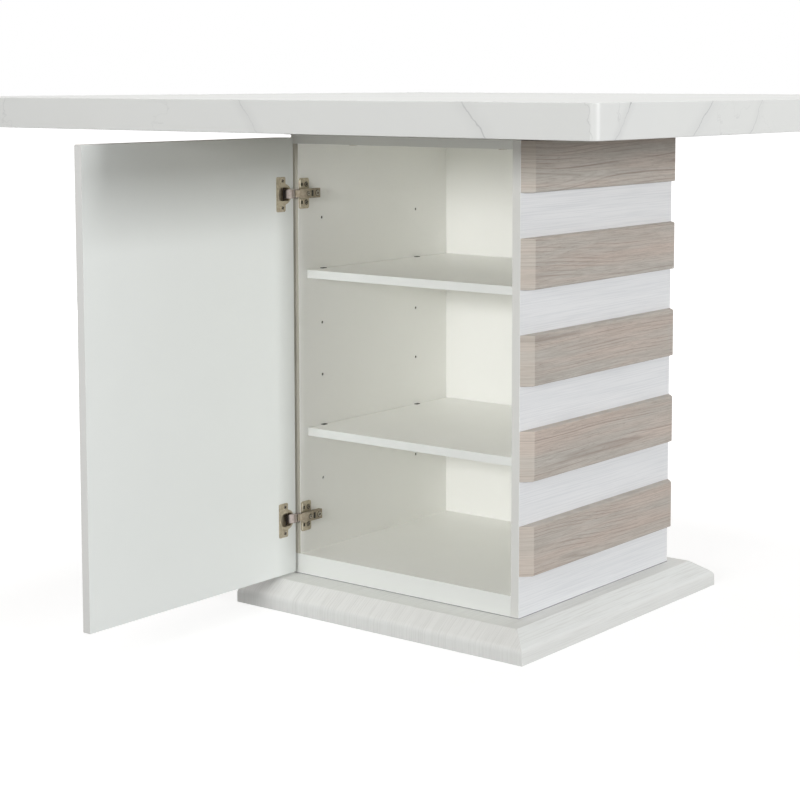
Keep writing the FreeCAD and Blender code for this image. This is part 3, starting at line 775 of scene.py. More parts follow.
@dataclass(frozen=True)
class PlinthFoil(Finish):
    """White brushed foil that runs front to back and is wrapped over the plinth's edges, with
    painted light and shade that gives its slopes and flats their own colours.
    """

    line_colour: Colour = paint(204, 204, 201)
    # painted light and shade: colours for the slopes and flats, set apart from the upright faces by
    # how light falls on them
    front_slope_shading: Colour = paint(238, 238, 236)
    side_slope_shading: Colour = paint(236, 239, 238)
    flat_shading: Colour = paint(239, 240, 237)
    worn: Colour = paint(246, 246, 243)
    level: Span = (0.9, 0.98)
    line_share: float = 0.34
    band_share: float = 0.1

    def dress(self, coat: Coat) -> None:
        """Lays painted light and shade on the slopes and flats, then lines along Y on the flats and
        sides, and down the front and rear edges.

        Args:
            coat: The coat to lay them on.
        """
        graph = coat.graph
        x, y, z = graph.split(coat.place)
        facing = graph.facing()
        sideways = graph.size(facing[0])
        wrapped = graph.remap(sideways, 0.45, 0.8)
        along = graph.math("ADD", y, graph.times(z, graph.minus(1.0, wrapped)))
        place = graph.join(along, graph.grown(x, wrapped, z), 0.7)
        fibre = coat.effect(FibreLines, Vector=place, Lines=560.0, Run=0.016, Waver=0.004)
        # painted light and shade: the slopes and flats take their own colours by the way they face
        steep = graph.remap(facing[2], *self.level, 1.0, 0.0)
        leaning = graph.times(graph.remap(facing[2], 0.3, 0.75), steep)
        to_side = graph.remap(sideways, 0.2, 0.45)
        slope_shading = graph.mix(to_side, self.front_slope_shading, self.side_slope_shading)
        coat.lay(leaning, slope_shading, share=0.8)
        coat.lay(graph.remap(facing[2], *self.level), self.flat_shading, share=0.8)
        shade = graph.times(graph.remap(fibre["Fine"], 0.35, 0.95), self.line_share)
        coat.lay(graph.grown(shade, self.band_share, fibre["Broad"]), self.line_colour)
        coat.lay_wear_and_shade(self.worn, share=0.12)
        coat.roughen(coat.effect(Mottle, Size=0.07)["Clouds"], share=0.08, less=0.04)
        coat.seal(graph.times(fibre["Fine"], -1.0), depth=0.00004)


@dataclass(frozen=True)
class OakFoil(Finish):
    """Taupe oak foil with its grain along the slat."""

    run: Axis = Axis.Y
    rosy: Colour = paint(192, 178, 168)
    dark: Colour = paint(138, 126, 117)
    pore: Colour = paint(132, 122, 113)
    worn: Colour = paint(206, 198, 188)
    dust: Colour = paint(214, 208, 200)
    # painted highlight: how much the bevelled ends are lightened
    bevel_highlight_share: float = 0.28
    ring_height: float = -0.4
    pore_height: float = -1.0
    fibre_height: float = -0.35

    def dress(self, coat: Coat) -> None:
        """Lays the figure, the fibres, a painted highlight on the bevelled ends, the dust and the
        pores' relief.

        Args:
            coat: The coat to lay them on.
        """
        graph = coat.graph
        parts = graph.split(coat.place)
        along, depth = (parts[0], parts[1]) if self.run is Axis.X else (parts[1], parts[0])
        figure = coat.effect(FlatSawnFigure, Vector=graph.join(along, parts[2], depth))
        wrapped = graph.join(along, parts[2], graph.math("SIGN", depth))
        fibre = coat.effect(FibreLines, Vector=wrapped, Lines=430.0, Run=0.03, Waver=0.003)
        coat.lay(figure["Tone"], self.rosy)
        coat.lay(fibre["Broad"], self.dark, share=0.16)
        coat.lay(figure["Rings"], self.dark, share=0.62)
        coat.lay(graph.remap(fibre["Fine"], 0.35, 0.75), self.dark, share=0.30)
        coat.lay(figure["Pores"], self.pore, share=0.40)
        # painted highlight: the bevelled ends, which face between X and Y, are lightened with the
        # worn colour
        facing = graph.facing()
        bevel_facing = graph.size(graph.times(facing[0], facing[1]))
        coat.lay(graph.remap(bevel_facing, 0.3, 0.45, 0.0, self.bevel_highlight_share), self.worn)
        coat.lay_wear_and_shade(self.worn, share=0.45)
        dust = coat.effect(SettledDust, Amount=0.75)["Mask"]
        coat.lay(dust, self.dust)
        coat.roughen(figure["Rings"], share=0.10, less=0.05)
        coat.roughen(figure["Pores"], share=0.15)
        coat.roughen(dust, share=0.15)
        height = graph.times(figure["Rings"], self.ring_height)
        height = graph.grown(height, self.pore_height, figure["Pores"])
        coat.seal(graph.grown(height, self.fibre_height, fibre["Fine"]), depth=0.00012)


@dataclass(frozen=True)
class PlatedMetal(Finish):
    """Plated or bright sheet metal with fine scratches, a painted dark reflection along its edges
    and painted shade on its end inside the hinge cup.
    """

    metallic: float = 1.0
    stain: Colour = paint(120, 110, 95)
    # painted reflection: a dark line along the metal's rounded edges
    rim: Colour = paint(104, 94, 78)
    # painted shade: the colour of the part that lies inside the hinge cup
    cup_shade: Colour = paint(52, 47, 44)
    shaded_below: float = -1.0
    shade_fade: float = 0.0012

    def dress(self, coat: Coat) -> None:
        """Lays the plating's clouds, its rolling marks, the painted edge reflection and the painted
        shade inside the cup.

        Args:
            coat: The coat to lay them on.
        """
        graph = coat.graph
        mottle = coat.effect(Mottle, Size=0.006)
        fibre = coat.effect(FibreLines, Lines=2600.0, Run=0.08, Waver=0.0005)
        coat.lay(mottle["Clouds"], self.stain, share=0.35)
        # painted dark reflection along the rounded edges
        coat.lay_wear_and_shade(self.rim, share=0.7)
        across = graph.split(coat.place)[0]
        # painted shade inside the cup, beyond a plane on X
        coat.lay(graph.remap(across, *around(self.shaded_below, self.shade_fade), 1.0, 0.0), self.cup_shade)
        coat.roughen(mottle["Clouds"], share=0.14, less=0.05)
        coat.roughen(fibre["Fine"], share=0.08)
        coat.seal(fibre["Fine"], depth=0.000006)


@dataclass(frozen=True)
class DarkTexture(Finish):
    """A dark finish with a fine spark-eroded texture: moulded plastic on the shelf supports, and
    painted shade in the hinges' recesses, the pin holes and at the column's foot.
    """

    bloom: Colour = paint(84, 80, 76)

    def dress(self, coat: Coat) -> None:
        """Lays the texture and its uneven gloss.

        Args:
            coat: The coat to lay them on.
        """
        clouds = coat.effect(Mottle, Size=0.004)["Clouds"]
        coat.lay(clouds, self.bloom, share=0.2)
        coat.roughen(clouds, share=0.1)
        coat.seal(coat.effect(PressedSkin, Size=0.0004)["Height"], depth=0.00002)


@dataclass(frozen=True)
class ChipBoard(Finish):
    """Raw board made of pressed chips or fibres."""

    chip: float = 0.004
    dark: Colour = paint(150, 120, 84)

    def dress(self, coat: Coat) -> None:
        """Lays chips of mixed tone with gaps between them.

        Args:
            coat: The coat to lay them on.
        """
        graph = coat.graph
        chips = {"Vector": coat.place, "Scale": 1.0 / self.chip}
        tone = graph.split(graph.add("ShaderNodeTexVoronoi", chips).outputs["Color"])[0]
        coat.lay(tone, self.dark, share=0.6)
        skin = coat.effect(PressedSkin, Size=self.chip / 3)["Height"]
        coat.lay(graph.remap(skin, 1.2, 1.9, 0.0, 0.35), self.dark)
        coat.seal(graph.math("ADD", skin, tone), depth=0.00015)


@dataclass(frozen=True)
class PlainWood(Finish):
    """Turned beech with short pores."""

    dark: Colour = paint(176, 132, 88)

    def dress(self, coat: Coat) -> None:
        """Lays the fibres and their relief.

        Args:
            coat: The coat to lay them on.
        """
        fine = coat.effect(FibreLines, Lines=1500.0, Run=0.06, Waver=0.001)["Fine"]
        coat.lay(fine, self.dark, share=0.6)
        coat.seal(fine, depth=0.00005)


def edge_band(title: str, shade: Colour, tint: Colour, roughness: float) -> Board:
    """Returns the finish of a thin plastic edge band."""
    return Board(title, "white_melamine", shade, roughness, tint=tint, skin_size=0.0008)


WHITE_BOARD = paint(246, 246, 243)
TAUPE = paint(183, 179, 172)
MARBLE = MarbleLaminate("marble_laminate_finish", "marble_laminate", paint(224, 225, 223), 0.44,
                        specular=0.3)
# painted shade on the side panels' faces that look along Y, through the darker edge colour
SIDE_FOIL = Board("side_foil_finish", "white_brushed_foil", WHITE_BOARD, 0.46, foil_side=Axis.X,
                  edge_shade_colour=paint(226, 227, 228))
REAR_FOIL = Board("rear_foil_finish", "white_brushed_foil", WHITE_BOARD, 0.46, foil_side=Axis.Y)
MELAMINE = Board("melamine_finish", "white_melamine", WHITE_BOARD, 0.42)
SIDE_BAND = edge_band("side_band_finish", paint(216, 216, 213), paint(211, 211, 208), 0.36)
BAND = edge_band("edge_band_finish", paint(228, 230, 227), paint(223, 225, 222), 0.36)
# painted shade: the left front edge beside the door is darker than the other bands
GAP_SHADE_BAND = edge_band("gap_shade_band_finish", paint(200, 198, 186), paint(196, 194, 182), 0.4)
LIP_SHADE_BAND = edge_band("lip_shade_band_finish", paint(184, 181, 168), paint(180, 177, 164), 0.4)
# painted shade on the door's faces that look along Y, through the darker edge colour
LACQUER = Board("door_lacquer_finish", "white_door_lacquer", paint(222, 225, 223), 0.34,
                tint=paint(217, 220, 218), foil_side=Axis.X, edge_shade_colour=paint(206, 206, 204))
PLINTH = PlinthFoil("plinth_foil_finish", "plinth_foil", paint(227, 228, 226), 0.46)
OAK_Y = OakFoil("oak_foil_side_finish", "taupe_oak_foil", TAUPE, 0.56)
OAK_X = OakFoil("oak_foil_rear_finish", "taupe_oak_foil", TAUPE, 0.56, run=Axis.X)
NICKEL = PlatedMetal("nickel_finish", "hinge_nickel", paint(200, 190, 170), 0.44,
                     edge_mask_radius=0.0009)
ARM = PlatedMetal("arm_finish", "hinge_nickel", paint(172, 162, 144), 0.56, edge_mask_radius=0.0009)
# painted highlight: a lighter nickel for the screw rims and the plates' beads
HIGHLIGHT_NICKEL = PlatedMetal("highlight_rim_finish", "hinge_nickel", paint(236, 230, 216), 0.3,
                     edge_mask_radius=0.0001)
# painted shade on the link's end inside the cup
STEEL = PlatedMetal("link_steel_finish", "link_steel", paint(178, 168, 163), 0.5,
                    edge_mask_radius=0.0003, shaded_below=-0.2385)
ZINC = PlatedMetal("zinc_finish", "screw_zinc", paint(184, 176, 162), 0.42, edge_mask_radius=0.0003)
# painted shade: near-black for the hinges' screw recesses, slots and holes
RECESS_SHADE = DarkTexture("recess_shade_finish", "screw_zinc", paint(34, 30, 27), 0.75)
# painted shade: a dark line where the column meets the plinth
FOOT_SHADE = DarkTexture("foot_shade_finish", "support_plastic", paint(136, 136, 142), 0.7)
# painted shade in the pin holes, darker than the raw board's own brown
HOLE_SHADE = DarkTexture("pin_hole_shade_finish", "raw_board", paint(66, 58, 50), 0.9)
SUPPORT = DarkTexture("support_finish", "support_plastic", paint(44, 40, 38), 0.5)
RAW = ChipBoard("raw_board_finish", "raw_board", paint(206, 178, 134), 0.9)
BACKING = ChipBoard("backing_board_finish", "backing_board", paint(206, 200, 190), 0.8, chip=0.0016,
                    dark=paint(168, 158, 142))
DARK_BOARD = ChipBoard("dark_board_finish", "backing_board", paint(132, 124, 112), 0.8, chip=0.0016,
                       dark=paint(104, 96, 84))
BEECH = PlainWood("beech_finish", "beech_dowel", paint(216, 182, 138), 0.7)


@dataclass(frozen=True)
class SoftEdge:
    """Small rounds on the sharp edges of a piece."""

    width: float = 0.0006
    segments: int = 2
    angle: float = math.radians(32)
    weld: float = 0.000002
    flat_angle: float = math.radians(0.3)

    def round(self, piece: bpy.types.Object) -> None:
        """Adds the modifier that rounds the edges sharper than the angle.

        Args:
            piece: The piece.
        """
        bevel = piece.modifiers.new("round", "BEVEL")
        bevel.width = self.width
        bevel.segments = self.segments
        bevel.limit_method = "ANGLE"
        bevel.angle_limit = self.angle
        bevel.harden_normals = True

    def apply(self, piece: bpy.types.Object) -> None:
        """Adds the modifiers that weld a carried-over piece's facets and round its edges.

        Args:
            piece: The piece.
        """
        mesh = piece.data
        normals = mesh.attributes.get("custom_normal")
        if normals is not None:
            mesh.attributes.remove(normals)
        mesh.polygons.foreach_set("use_smooth", [True] * len(mesh.polygons))
        piece.modifiers.new("weld", "WELD").merge_threshold = self.weld
        flat = piece.modifiers.new("flat", "DECIMATE")
        flat.decimate_type = "DISSOLVE"
        flat.angle_limit = self.flat_angle
        self.round(piece)


PLINTH_EDGE = SoftEdge(0.0028, 4)
PANEL_EDGE = SoftEdge(0.0007)
SLAT_EDGE = SoftEdge(0.0006)
TOP_EDGE = SoftEdge(0.0005)
SHARP_EDGE = SoftEdge(0.00035)
SUPPORT_EDGE = SoftEdge(0.0003)
METAL_EDGE = SoftEdge(0.00012)
MARK_EDGE = SoftEdge(0.00006, angle=math.radians(30))


class Former:
    """Makes the meshes of small added pieces, in place in the table's frame."""

    @staticmethod
    def finish(name: str, mesh: bmesh.types.BMesh) -> bpy.types.Object:
        """Turns a built mesh into an object.

        Args:
            name: The piece's name.
            mesh: The built mesh, which is freed.

        Returns:
            The new object, linked to the scene.
        """
        bmesh.ops.recalc_face_normals(mesh, faces=mesh.faces)
        data = bpy.data.meshes.new(name)
        mesh.to_mesh(data)
        mesh.free()
        data.polygons.foreach_set("use_smooth", [True] * len(data.polygons))
        piece = bpy.data.objects.new(name, data)
        bpy.context.scene.collection.objects.link(piece)
        return piece

    @staticmethod
    def strips(name: str, boxes: Sequence[Box], radius: float) -> bpy.types.Object:
        """Makes thin strips with rounded edges.

        Args:
            name: The piece's name.
            boxes: Each strip's spans on X, Y and Z.
            radius: The round on its edges.

        Returns:
            One piece with all the strips.
        """
        mesh = bmesh.new()
        for spans in boxes:
            sizes = [high - low for low, high in spans]
            middle = [(low + high) / 2 for low, high in spans]
            made = bmesh.ops.create_cube(mesh, size=1.0)["verts"]
            bmesh.ops.scale(mesh, vec=sizes, verts=made)
            bmesh.ops.translate(mesh, vec=middle, verts=made)
            edges = list({edge for vert in made for edge in vert.link_edges})
            rounds = {"offset": radius, "segments": 2, "profile": 0.5, "affect": "EDGES"}
            bmesh.ops.bevel(mesh, geom=edges, **rounds)
        piece = Former.finish(name, mesh)
        piece.modifiers.new("even", "WEIGHTED_NORMAL").keep_sharp = False
        return piece


@dataclass(frozen=True)
class Mark:
    """An outline in an upright plane that faces +X, given a thickness."""

    outline: Outline
    depth: Span

    def add_to(self, mesh: bmesh.types.BMesh) -> None:
        """Adds the thickened outline to a mesh.

        Args:
            mesh: The mesh.
        """
        ends = [[mesh.verts.new((x, y, z)) for y, z in self.outline] for x in self.depth]
        for end in ends:
            mesh.faces.new(end)
        count = len(self.outline)
        for first in range(count):
            second = (first + 1) % count
            mesh.faces.new((ends[0][first], ends[0][second], ends[1][second], ends[1][first]))


@dataclass(frozen=True)
class Ring:
    """A thin flat ring in an upright plane that faces +X."""

    centre: Point
    inner: float
    outer: float
    depth: Span

    def add_to(self, mesh: bmesh.types.BMesh) -> None:
        """Adds the ring to a mesh.

        Args:
            mesh: The mesh.
        """
        low, high = self.depth
        inner, outer = self.inner, self.outer
        loops = []
        for radius, x in ((inner, low), (inner, high), (outer, high), (outer, low)):
            loops.append([mesh.verts.new((x, y, z)) for y, z in circle(self.centre, radius)])
        for step, here in enumerate(loops):
            there = loops[(step + 1) % len(loops)]
            for first in range(len(here)):
                second = (first + 1) % len(here)
                mesh.faces.new((here[first], here[second], there[second], there[first]))


Shape = Union[Mark, Ring]


def turned(centre: Point, y: float, z: float, turn: float) -> Point:
    """Returns a point about a centre after a turn."""
    cosine, sine = math.cos(turn), math.sin(turn)
    return (centre[0] + y * cosine - z * sine, centre[1] + y * sine + z * cosine)


def circle(centre: Point, radius: float, sides: int = 28) -> Outline:
    """Returns a circle's points about a centre."""
    turns = [math.tau * step / sides for step in range(sides)]
    return tuple(turned(centre, radius, 0.0, turn) for turn in turns)


def oblong(centre: Point, half: Pair, sides: int = 6, roundness: float = 0.6) -> Outline:
    """Makes an oblong with rounded corners.

    Args:
        centre: Its middle.
        half: Its half sizes.
        sides: The straight pieces of each corner.
        roundness: The corners' radius, as a share of the smaller half size.

    Returns:
        Its points.
    """
    radius = min(half) * roundness
    points = []
    for corner, (y_way, z_way) in enumerate(((1, 1), (-1, 1), (-1, -1), (1, -1))):
        middle = (centre[0] + y_way * (half[0] - radius), centre[1] + z_way * (half[1] - radius))
        for step in range(sides + 1):
            turn = math.pi / 2 * (corner + step / sides)
            points.append(turned(middle, radius, 0.0, turn))
    return tuple(points)


def cross(centre: Point, reach: float, width: float, stop: float = 0.35) -> Outline:
    """Makes a cross of two equal bars.

    Args:
        centre: Its middle.
        reach: How far each bar reaches from there.
        width: Each bar's width.
        stop: The turn, in radians, at which the screw stopped.

    Returns:
        Its points.
    """
    half = width / 2
    points = []
    for quarter in range(4):
        turn = math.pi / 2 * quarter + stop
        for y, z in ((reach, -half), (reach, half), (half, half)):
            points.append(turned(centre, y, z, turn))
    return tuple(points)


class Workshop:
    """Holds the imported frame, dresses its pieces and fits the added ones."""

    def __init__(self, frame: Mapping[str, object]) -> None:
        """Keeps the frame's nodes by name."""
        self.nodes: Mapping[str, bpy.types.Object] = frame["nodes"]

    def dress(self, names: Sequence[str], finish: Finish, edge: SoftEdge) -> None:
        """Gives carried-over pieces their finish and soft edges.

        Args:
            names: The pieces' names.
            finish: What they are finished in.
            edge: The rounds on their edges.
        """
        for name in names:
            piece = self.nodes[name]
            for slot in piece.material_slots:
                slot.material = finish.material()
            edge.apply(piece)
            LOG.info("dressed %s in %s", name, finish.title)

    def fit_marks(self, name: str, marks: Sequence[Shape], body: Body, finish: Finish) -> None:
        """Makes one piece of several small flat shapes and fits it.

        Args:
            name: The piece's name.
            marks: The shapes.
            body: The body that carries them.
            finish: What they are finished in.
        """
        mesh = bmesh.new()
        for mark in marks:
            mark.add_to(mesh)
        piece = Former.finish(name, mesh)
        MARK_EDGE.round(piece)
        self.fit(piece, body, finish)

    def fit(self, piece: bpy.types.Object, body: Body, finish: Finish) -> None:
        """Finishes an added piece and lets it ride on a body.

        Args:
            piece: The piece, in place.
            body: The body that carries it.
            finish: What it is finished in.
        """
        piece.data.materials.append(finish.material())
        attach(piece, body.value)
        LOG.info("fitted %s on %s", piece.name, body.value)


@dataclass
class TableTop:
    """The square top: its laminated shell, its boards, its core and its screws."""

    shop: Workshop

    def build(self) -> None:
        """Dresses the top's pieces."""
        self.shop.dress(["table_top_shell"], MARBLE, TOP_EDGE)
        self.shop.dress(["table_top_underside"], BACKING, SHARP_EDGE)
        self.shop.dress(["mounting_board"], DARK_BOARD, SHARP_EDGE)
        self.shop.dress(["table_top_core_rails"], RAW, SHARP_EDGE)
        self.shop.dress(["mounting_board_screws", "top_bolts", "insert_nuts"], ZINC, METAL_EDGE)


@dataclass
class Column:
    """The cupboard column: panels, rails, joinery and the bands on the front edges."""

    shop: Workshop
    half_width: float = 0.250
    panel: float = 0.016
    front: float = -0.232
    rear: float = 0.250
    bottom: float = 0.048
    top: float = 0.846
    rail_height: float = 0.037
    lip: float = -0.2388
    band: float = 0.0004
    band_round: float = 0.00025
    fine_round: float = 0.00005
    shy: float = 0.0002
    foot_shade_height: float = 0.0012
    hole_radius: float = 0.0025
    hole_first: float = 0.215
    hole_pitch: float = 0.096
    hole_rows: Pair = (-0.168, 0.108)
    free_steps: Tuple[int, ...] = (0, 2, 3, 5)
    hole_shade_share: float = 0.97
    hole_shade_depth: Span = (0.0010, 0.0016)
    rim_shares: Span = (1.02, 1.3)
    rim_depth: Span = (-0.00012, 0.0001)

    def fit_bands(self) -> None:
        """Fits the bands on the front edges, with the level ones lapped over the left one, and
        painted shade on the left one beside the door.
        """
        inner, outer = self.half_width - self.panel, self.half_width - self.shy
        depth = around(self.front, self.band)
        foot, rail_top = self.bottom + self.foot_shade_height, self.bottom + self.rail_height
        head, crown = self.top - self.panel, self.top - self.shy
        across = (-outer, inner - self.shy)
        right = [((inner + self.shy, outer), depth, (foot, crown))]
        gap = [((-outer, self.lip), depth, (rail_top, head))]
        lip = [((self.lip, -inner - self.shy), depth, (rail_top, head))]
        heights = ((foot, rail_top - self.shy), (head + self.shy, crown))
        lapped = [(across, depth, tall) for tall in heights]
        for name, boxes, radius, finish in (
            ("right_edge_band", right, self.band_round, SIDE_BAND),
            # painted shade: the two bands on the left edge beside the door
            ("left_edge_band", gap, self.fine_round, GAP_SHADE_BAND),
            ("left_edge_lip", lip, self.fine_round, LIP_SHADE_BAND),
            ("cross_edge_bands", lapped, self.band_round, BAND),
        ):
            self.shop.fit(Former.strips(name, boxes, radius), Body.CABINET, finish)

    def fit_foot_shade(self) -> None:
        """Fits a thin dark line of painted shade where the column stands on the plinth."""
        tall = (self.bottom + self.shy / 2, self.bottom + self.foot_shade_height)
        side = (self.front - self.shy, self.rear + self.shy)
        between = (-self.half_width + self.shy, self.half_width - self.shy)
        boxes = [(around(x, self.shy), side, tall) for x in (self.half_width, -self.half_width)]
        boxes += [(between, around(y, self.shy), tall) for y in (self.front, self.rear)]
        self.shop.fit(Former.strips("foot_shade_line", boxes, self.fine_round), Body.CABINET, FOOT_SHADE)

    def fit_pin_holes(self) -> None:
        """Fits dark discs of painted shade, over the raw board's own brown, and fine rims to the
        free shelf pin holes.
        """
        hole_shades, rims = [], []
        for way in (-1, 1):
            wall = way * (self.half_width - self.panel)
            deep, rim = (tuple(sorted(wall + way * depth for depth in span))
                         for span in (self.hole_shade_depth, self.rim_depth))
            for y in self.hole_rows:
                for step in self.free_steps:
                    centre = (y, self.hole_first + self.hole_pitch * step)
                    # painted shade: a dark disc a little way into each free hole
                    hole_shades.append(Mark(circle(centre, self.hole_radius * self.hole_shade_share), deep))
                    inner, outer = (self.hole_radius * share for share in self.rim_shares)
                    rims.append(Ring(centre, inner, outer, rim))
        self.shop.fit_marks("pin_hole_shades", hole_shades, Body.CABINET, HOLE_SHADE)
        self.shop.fit_marks("pin_hole_rims", rims, Body.CABINET, BAND)

    def build(self) -> None:
        """Dresses the column's pieces and fits its bands, the painted shade line at its foot, and
        the painted shade and rims of its pin holes.
        """
        self.shop.dress(["side_panel_left", "side_panel_right"], SIDE_FOIL, PANEL_EDGE)
        self.shop.dress(["rear_panel"], REAR_FOIL, PANEL_EDGE)
        white = ["top_panel", "bottom_panel", "front_rail", "inner_back_panel"]
        self.shop.dress(white, MELAMINE, SHARP_EDGE)
        self.shop.dress(["rear_rail", "corner_blocks"], RAW, SHARP_EDGE)
        self.shop.dress(["cam_fittings"], ZINC, METAL_EDGE)
        self.shop.dress(["panel_dowels"], BEECH, METAL_EDGE)
        self.fit_bands()
        self.fit_foot_shade()
        self.fit_pin_holes()


@dataclass
class Shelves:
    """The two shelves, their supports and the bands on their front edges."""

    shop: Workshop
    half_width: float = 0.233
    front: float = -0.210
    thickness: float = 0.015
    tops: Pair = (0.6025, 0.3145)
    band: float = 0.0004
    band_round: float = 0.00025
    shy: float = 0.0002

    def build(self) -> None:
        """Dresses the shelves and their supports, and fits the bands."""
        self.shop.dress(["shelf_upper", "shelf_lower"], MELAMINE, SHARP_EDGE)
        self.shop.dress(["shelf_supports_upper", "shelf_supports_lower"], SUPPORT, SUPPORT_EDGE)
        across, depth = around(0.0, self.half_width - self.shy), around(self.front, self.band)
        heights = [(top - self.thickness + self.shy, top - self.shy) for top in self.tops]
        boxes = [(across, depth, tall) for tall in heights]
        bands = Former.strips("shelf_edge_bands", boxes, self.band_round)
        self.shop.fit(bands, Body.CABINET, BAND)


@dataclass
class Slats:
    """The bevelled oak slats of the three fixed faces and of the door."""

    shop: Workshop
    count: int = 5

    def build(self) -> None:
        """Dresses the slats with the grain along their length."""
        for face, finish in (("right", OAK_Y), ("left", OAK_Y), ("door", OAK_Y), ("rear", OAK_X)):
            names = ["slat_%s_%d" % (face, number + 1) for number in range(self.count)]
            self.shop.dress(names, finish, SLAT_EDGE)


@dataclass
class Door:
    """The lacquered door panel."""

    shop: Workshop

    def build(self) -> None:
        """Dresses the door."""
        self.shop.dress(["door_panel"], LACQUER, PANEL_EDGE)


@dataclass
class Hinges:
    """The two concealed hinges with their screws, pins and pressed details, and painted shade and
    highlights on their small parts.

    A place is the Y of a detail and how far it is above and below its hinge's
    own height. The faces are the X of the surfaces that the details lie on, and
    each of the arm's screws has its Y, its radius and the reach of its cross.
    """

    shop: Workshop
    levels: Tuple[Tuple[str, float], ...] = (("lower", 0.153), ("upper", 0.741))
    film: float = 0.00012
    flange_face: float = -0.2374
    cup_screw_face: float = -0.2358
    cup_screw_place: Point = (-0.2704, 0.024)
    cup_screw_cross: Pair = (0.0028, 0.0016)
    cup_screw_rim: Span = (0.0036, 0.0043)
    cup_rim_proud: float = 0.0003
    plate_face: float = -0.2322
    plate_screw_face: float = -0.2306
    plate_screw_place: Point = (-0.2120, 0.016)
    plate_screw_cross: Pair = (0.0030, 0.0018)
    plate_screw_gap: Span = (0.0035, 0.0048)
    small_hole_place: Point = (-0.2240, 0.016)
    small_hole: Pair = (0.0022, 0.0032)
    bead_across: Span = (-0.2299, -0.2276)
    bead_reach: Span = (0.0105, 0.0245)
    bead_depth: Span = (-0.0002, 0.0009)
    bead_round: float = 0.0004
    arm_face: float = -0.2218
    arm_slot: float = -0.2071
    arm_slot_half: Pair = (0.0026, 0.0056)
    arm_screw_face: float = -0.2206
    arm_screw_cross: float = 0.0012
    arm_screws: Tuple[Triple, ...] = ((-0.2180, 0.00325, 0.0021), (-0.1934, 0.0045, 0.0030))
    arm_gap: Span = (0.0001, 0.0012)
    arm_rim: Span = (-0.0008, -0.0002)
    door_shade_marks: List[Shape] = field(default_factory=list)
    door_highlight_rims: List[Shape] = field(default_factory=list)
    arm_shade_marks: List[Shape] = field(default_factory=list)
    arm_highlight_rims: List[Shape] = field(default_factory=list)

    def mark_cup(self, z: float) -> None:
        """Adds the painted shade of one cup's two screw recesses, and their rims in a painted
        highlight.

        Args:
            z: The hinge's height.
        """
        y, up = self.cup_screw_place
        rim_depth = (self.flange_face - self.film, self.flange_face + self.cup_rim_proud)
        for centre in ((y, z - up), (y, z + up)):
            recess_shade = cross(centre, *self.cup_screw_cross)
            self.door_shade_marks.append(Mark(recess_shade, around(self.cup_screw_face, self.film)))
            self.door_highlight_rims.append(Ring(centre, *self.cup_screw_rim, rim_depth))

    def mark_arm(self, z: float) -> None:
        """Adds the painted shade of one arm's slot, screw gaps and screw recesses, and the screws'
        rims in a painted highlight.

        Args:
            z: The hinge's height.
        """
        face, screw_face = around(self.arm_face, self.film), around(self.arm_screw_face, self.film)
        self.arm_shade_marks.append(Mark(oblong((self.arm_slot, z), self.arm_slot_half), face))
        for y, radius, reach in self.arm_screws:
            gap, rim = ([radius + more for more in span] for span in (self.arm_gap, self.arm_rim))
            self.arm_shade_marks.append(Ring((y, z), *gap, face))
            self.arm_highlight_rims.append(Ring((y, z), *rim, screw_face))
            self.arm_shade_marks.append(Mark(cross((y, z), reach, self.arm_screw_cross), screw_face))

    def mark_plate(self, z: float) -> None:
        """Adds the painted shade of one mounting plate's screw gaps, screw recesses and small
        holes.

        Args:
            z: The hinge's height.
        """
        face = around(self.plate_face, self.film)
        for way in (-1, 1):
            y, up = self.plate_screw_place
            centre = (y, z + way * up)
            self.arm_shade_marks.append(Ring(centre, *self.plate_screw_gap, face))
            recess_shade = cross(centre, *self.plate_screw_cross)
            self.arm_shade_marks.append(Mark(recess_shade, around(self.plate_screw_face, self.film)))
            y, up = self.small_hole_place
            self.arm_shade_marks.append(Mark(oblong((y, z + way * up), self.small_hole), face))

    def beads(self) -> bpy.types.Object:
        """Makes the pressed beads near the front edge of the plates' wings.

        Returns:
            One piece with all the beads.
        """
        low, high = self.bead_reach
        depth = tuple(self.plate_face + far for far in self.bead_depth)
        boxes = []
        for _, z in self.levels:
            boxes.append((depth, self.bead_across, (z - high, z - low)))
            boxes.append((depth, self.bead_across, (z + low, z + high)))
        return Former.strips("hinge_plate_beads", boxes, self.bead_round)

    def build(self) -> None:
        """Dresses the hinges' pieces and fits their details."""
        for level, z in self.levels:
            self.shop.dress(["hinge_cup_" + level, "hinge_plate_" + level], NICKEL, METAL_EDGE)
            self.shop.dress(["hinge_arm_" + level], ARM, METAL_EDGE)
            self.shop.dress(["hinge_link_" + level], STEEL, METAL_EDGE)
            self.mark_cup(z)
            self.mark_arm(z)
            self.mark_plate(z)
        self.shop.dress(["hinge_arm_pins", "hinge_cup_pins"], STEEL, METAL_EDGE)
        screws = ["hinge_%s_screws" % part for part in ("cup", "plate", "arm")]
        self.shop.dress(screws, ZINC, METAL_EDGE)
        # painted shade: near-black marks in the screw recesses, the arm's slot and the plates'
        # holes and screw gaps
        self.shop.fit_marks("cup_screw_recess_shades", self.door_shade_marks, Body.DOOR, RECESS_SHADE)
        # painted highlight: the screw rims and the plates' beads are finished in a lighter nickel
        self.shop.fit_marks("cup_screw_highlight_rims", self.door_highlight_rims, Body.DOOR, HIGHLIGHT_NICKEL)
        self.shop.fit_marks("arm_opening_shades", self.arm_shade_marks, Body.CABINET, RECESS_SHADE)
        self.shop.fit_marks("arm_screw_highlight_rims", self.arm_highlight_rims, Body.CABINET, HIGHLIGHT_NICKEL)
        self.shop.fit(self.beads(), Body.CABINET, HIGHLIGHT_NICKEL)


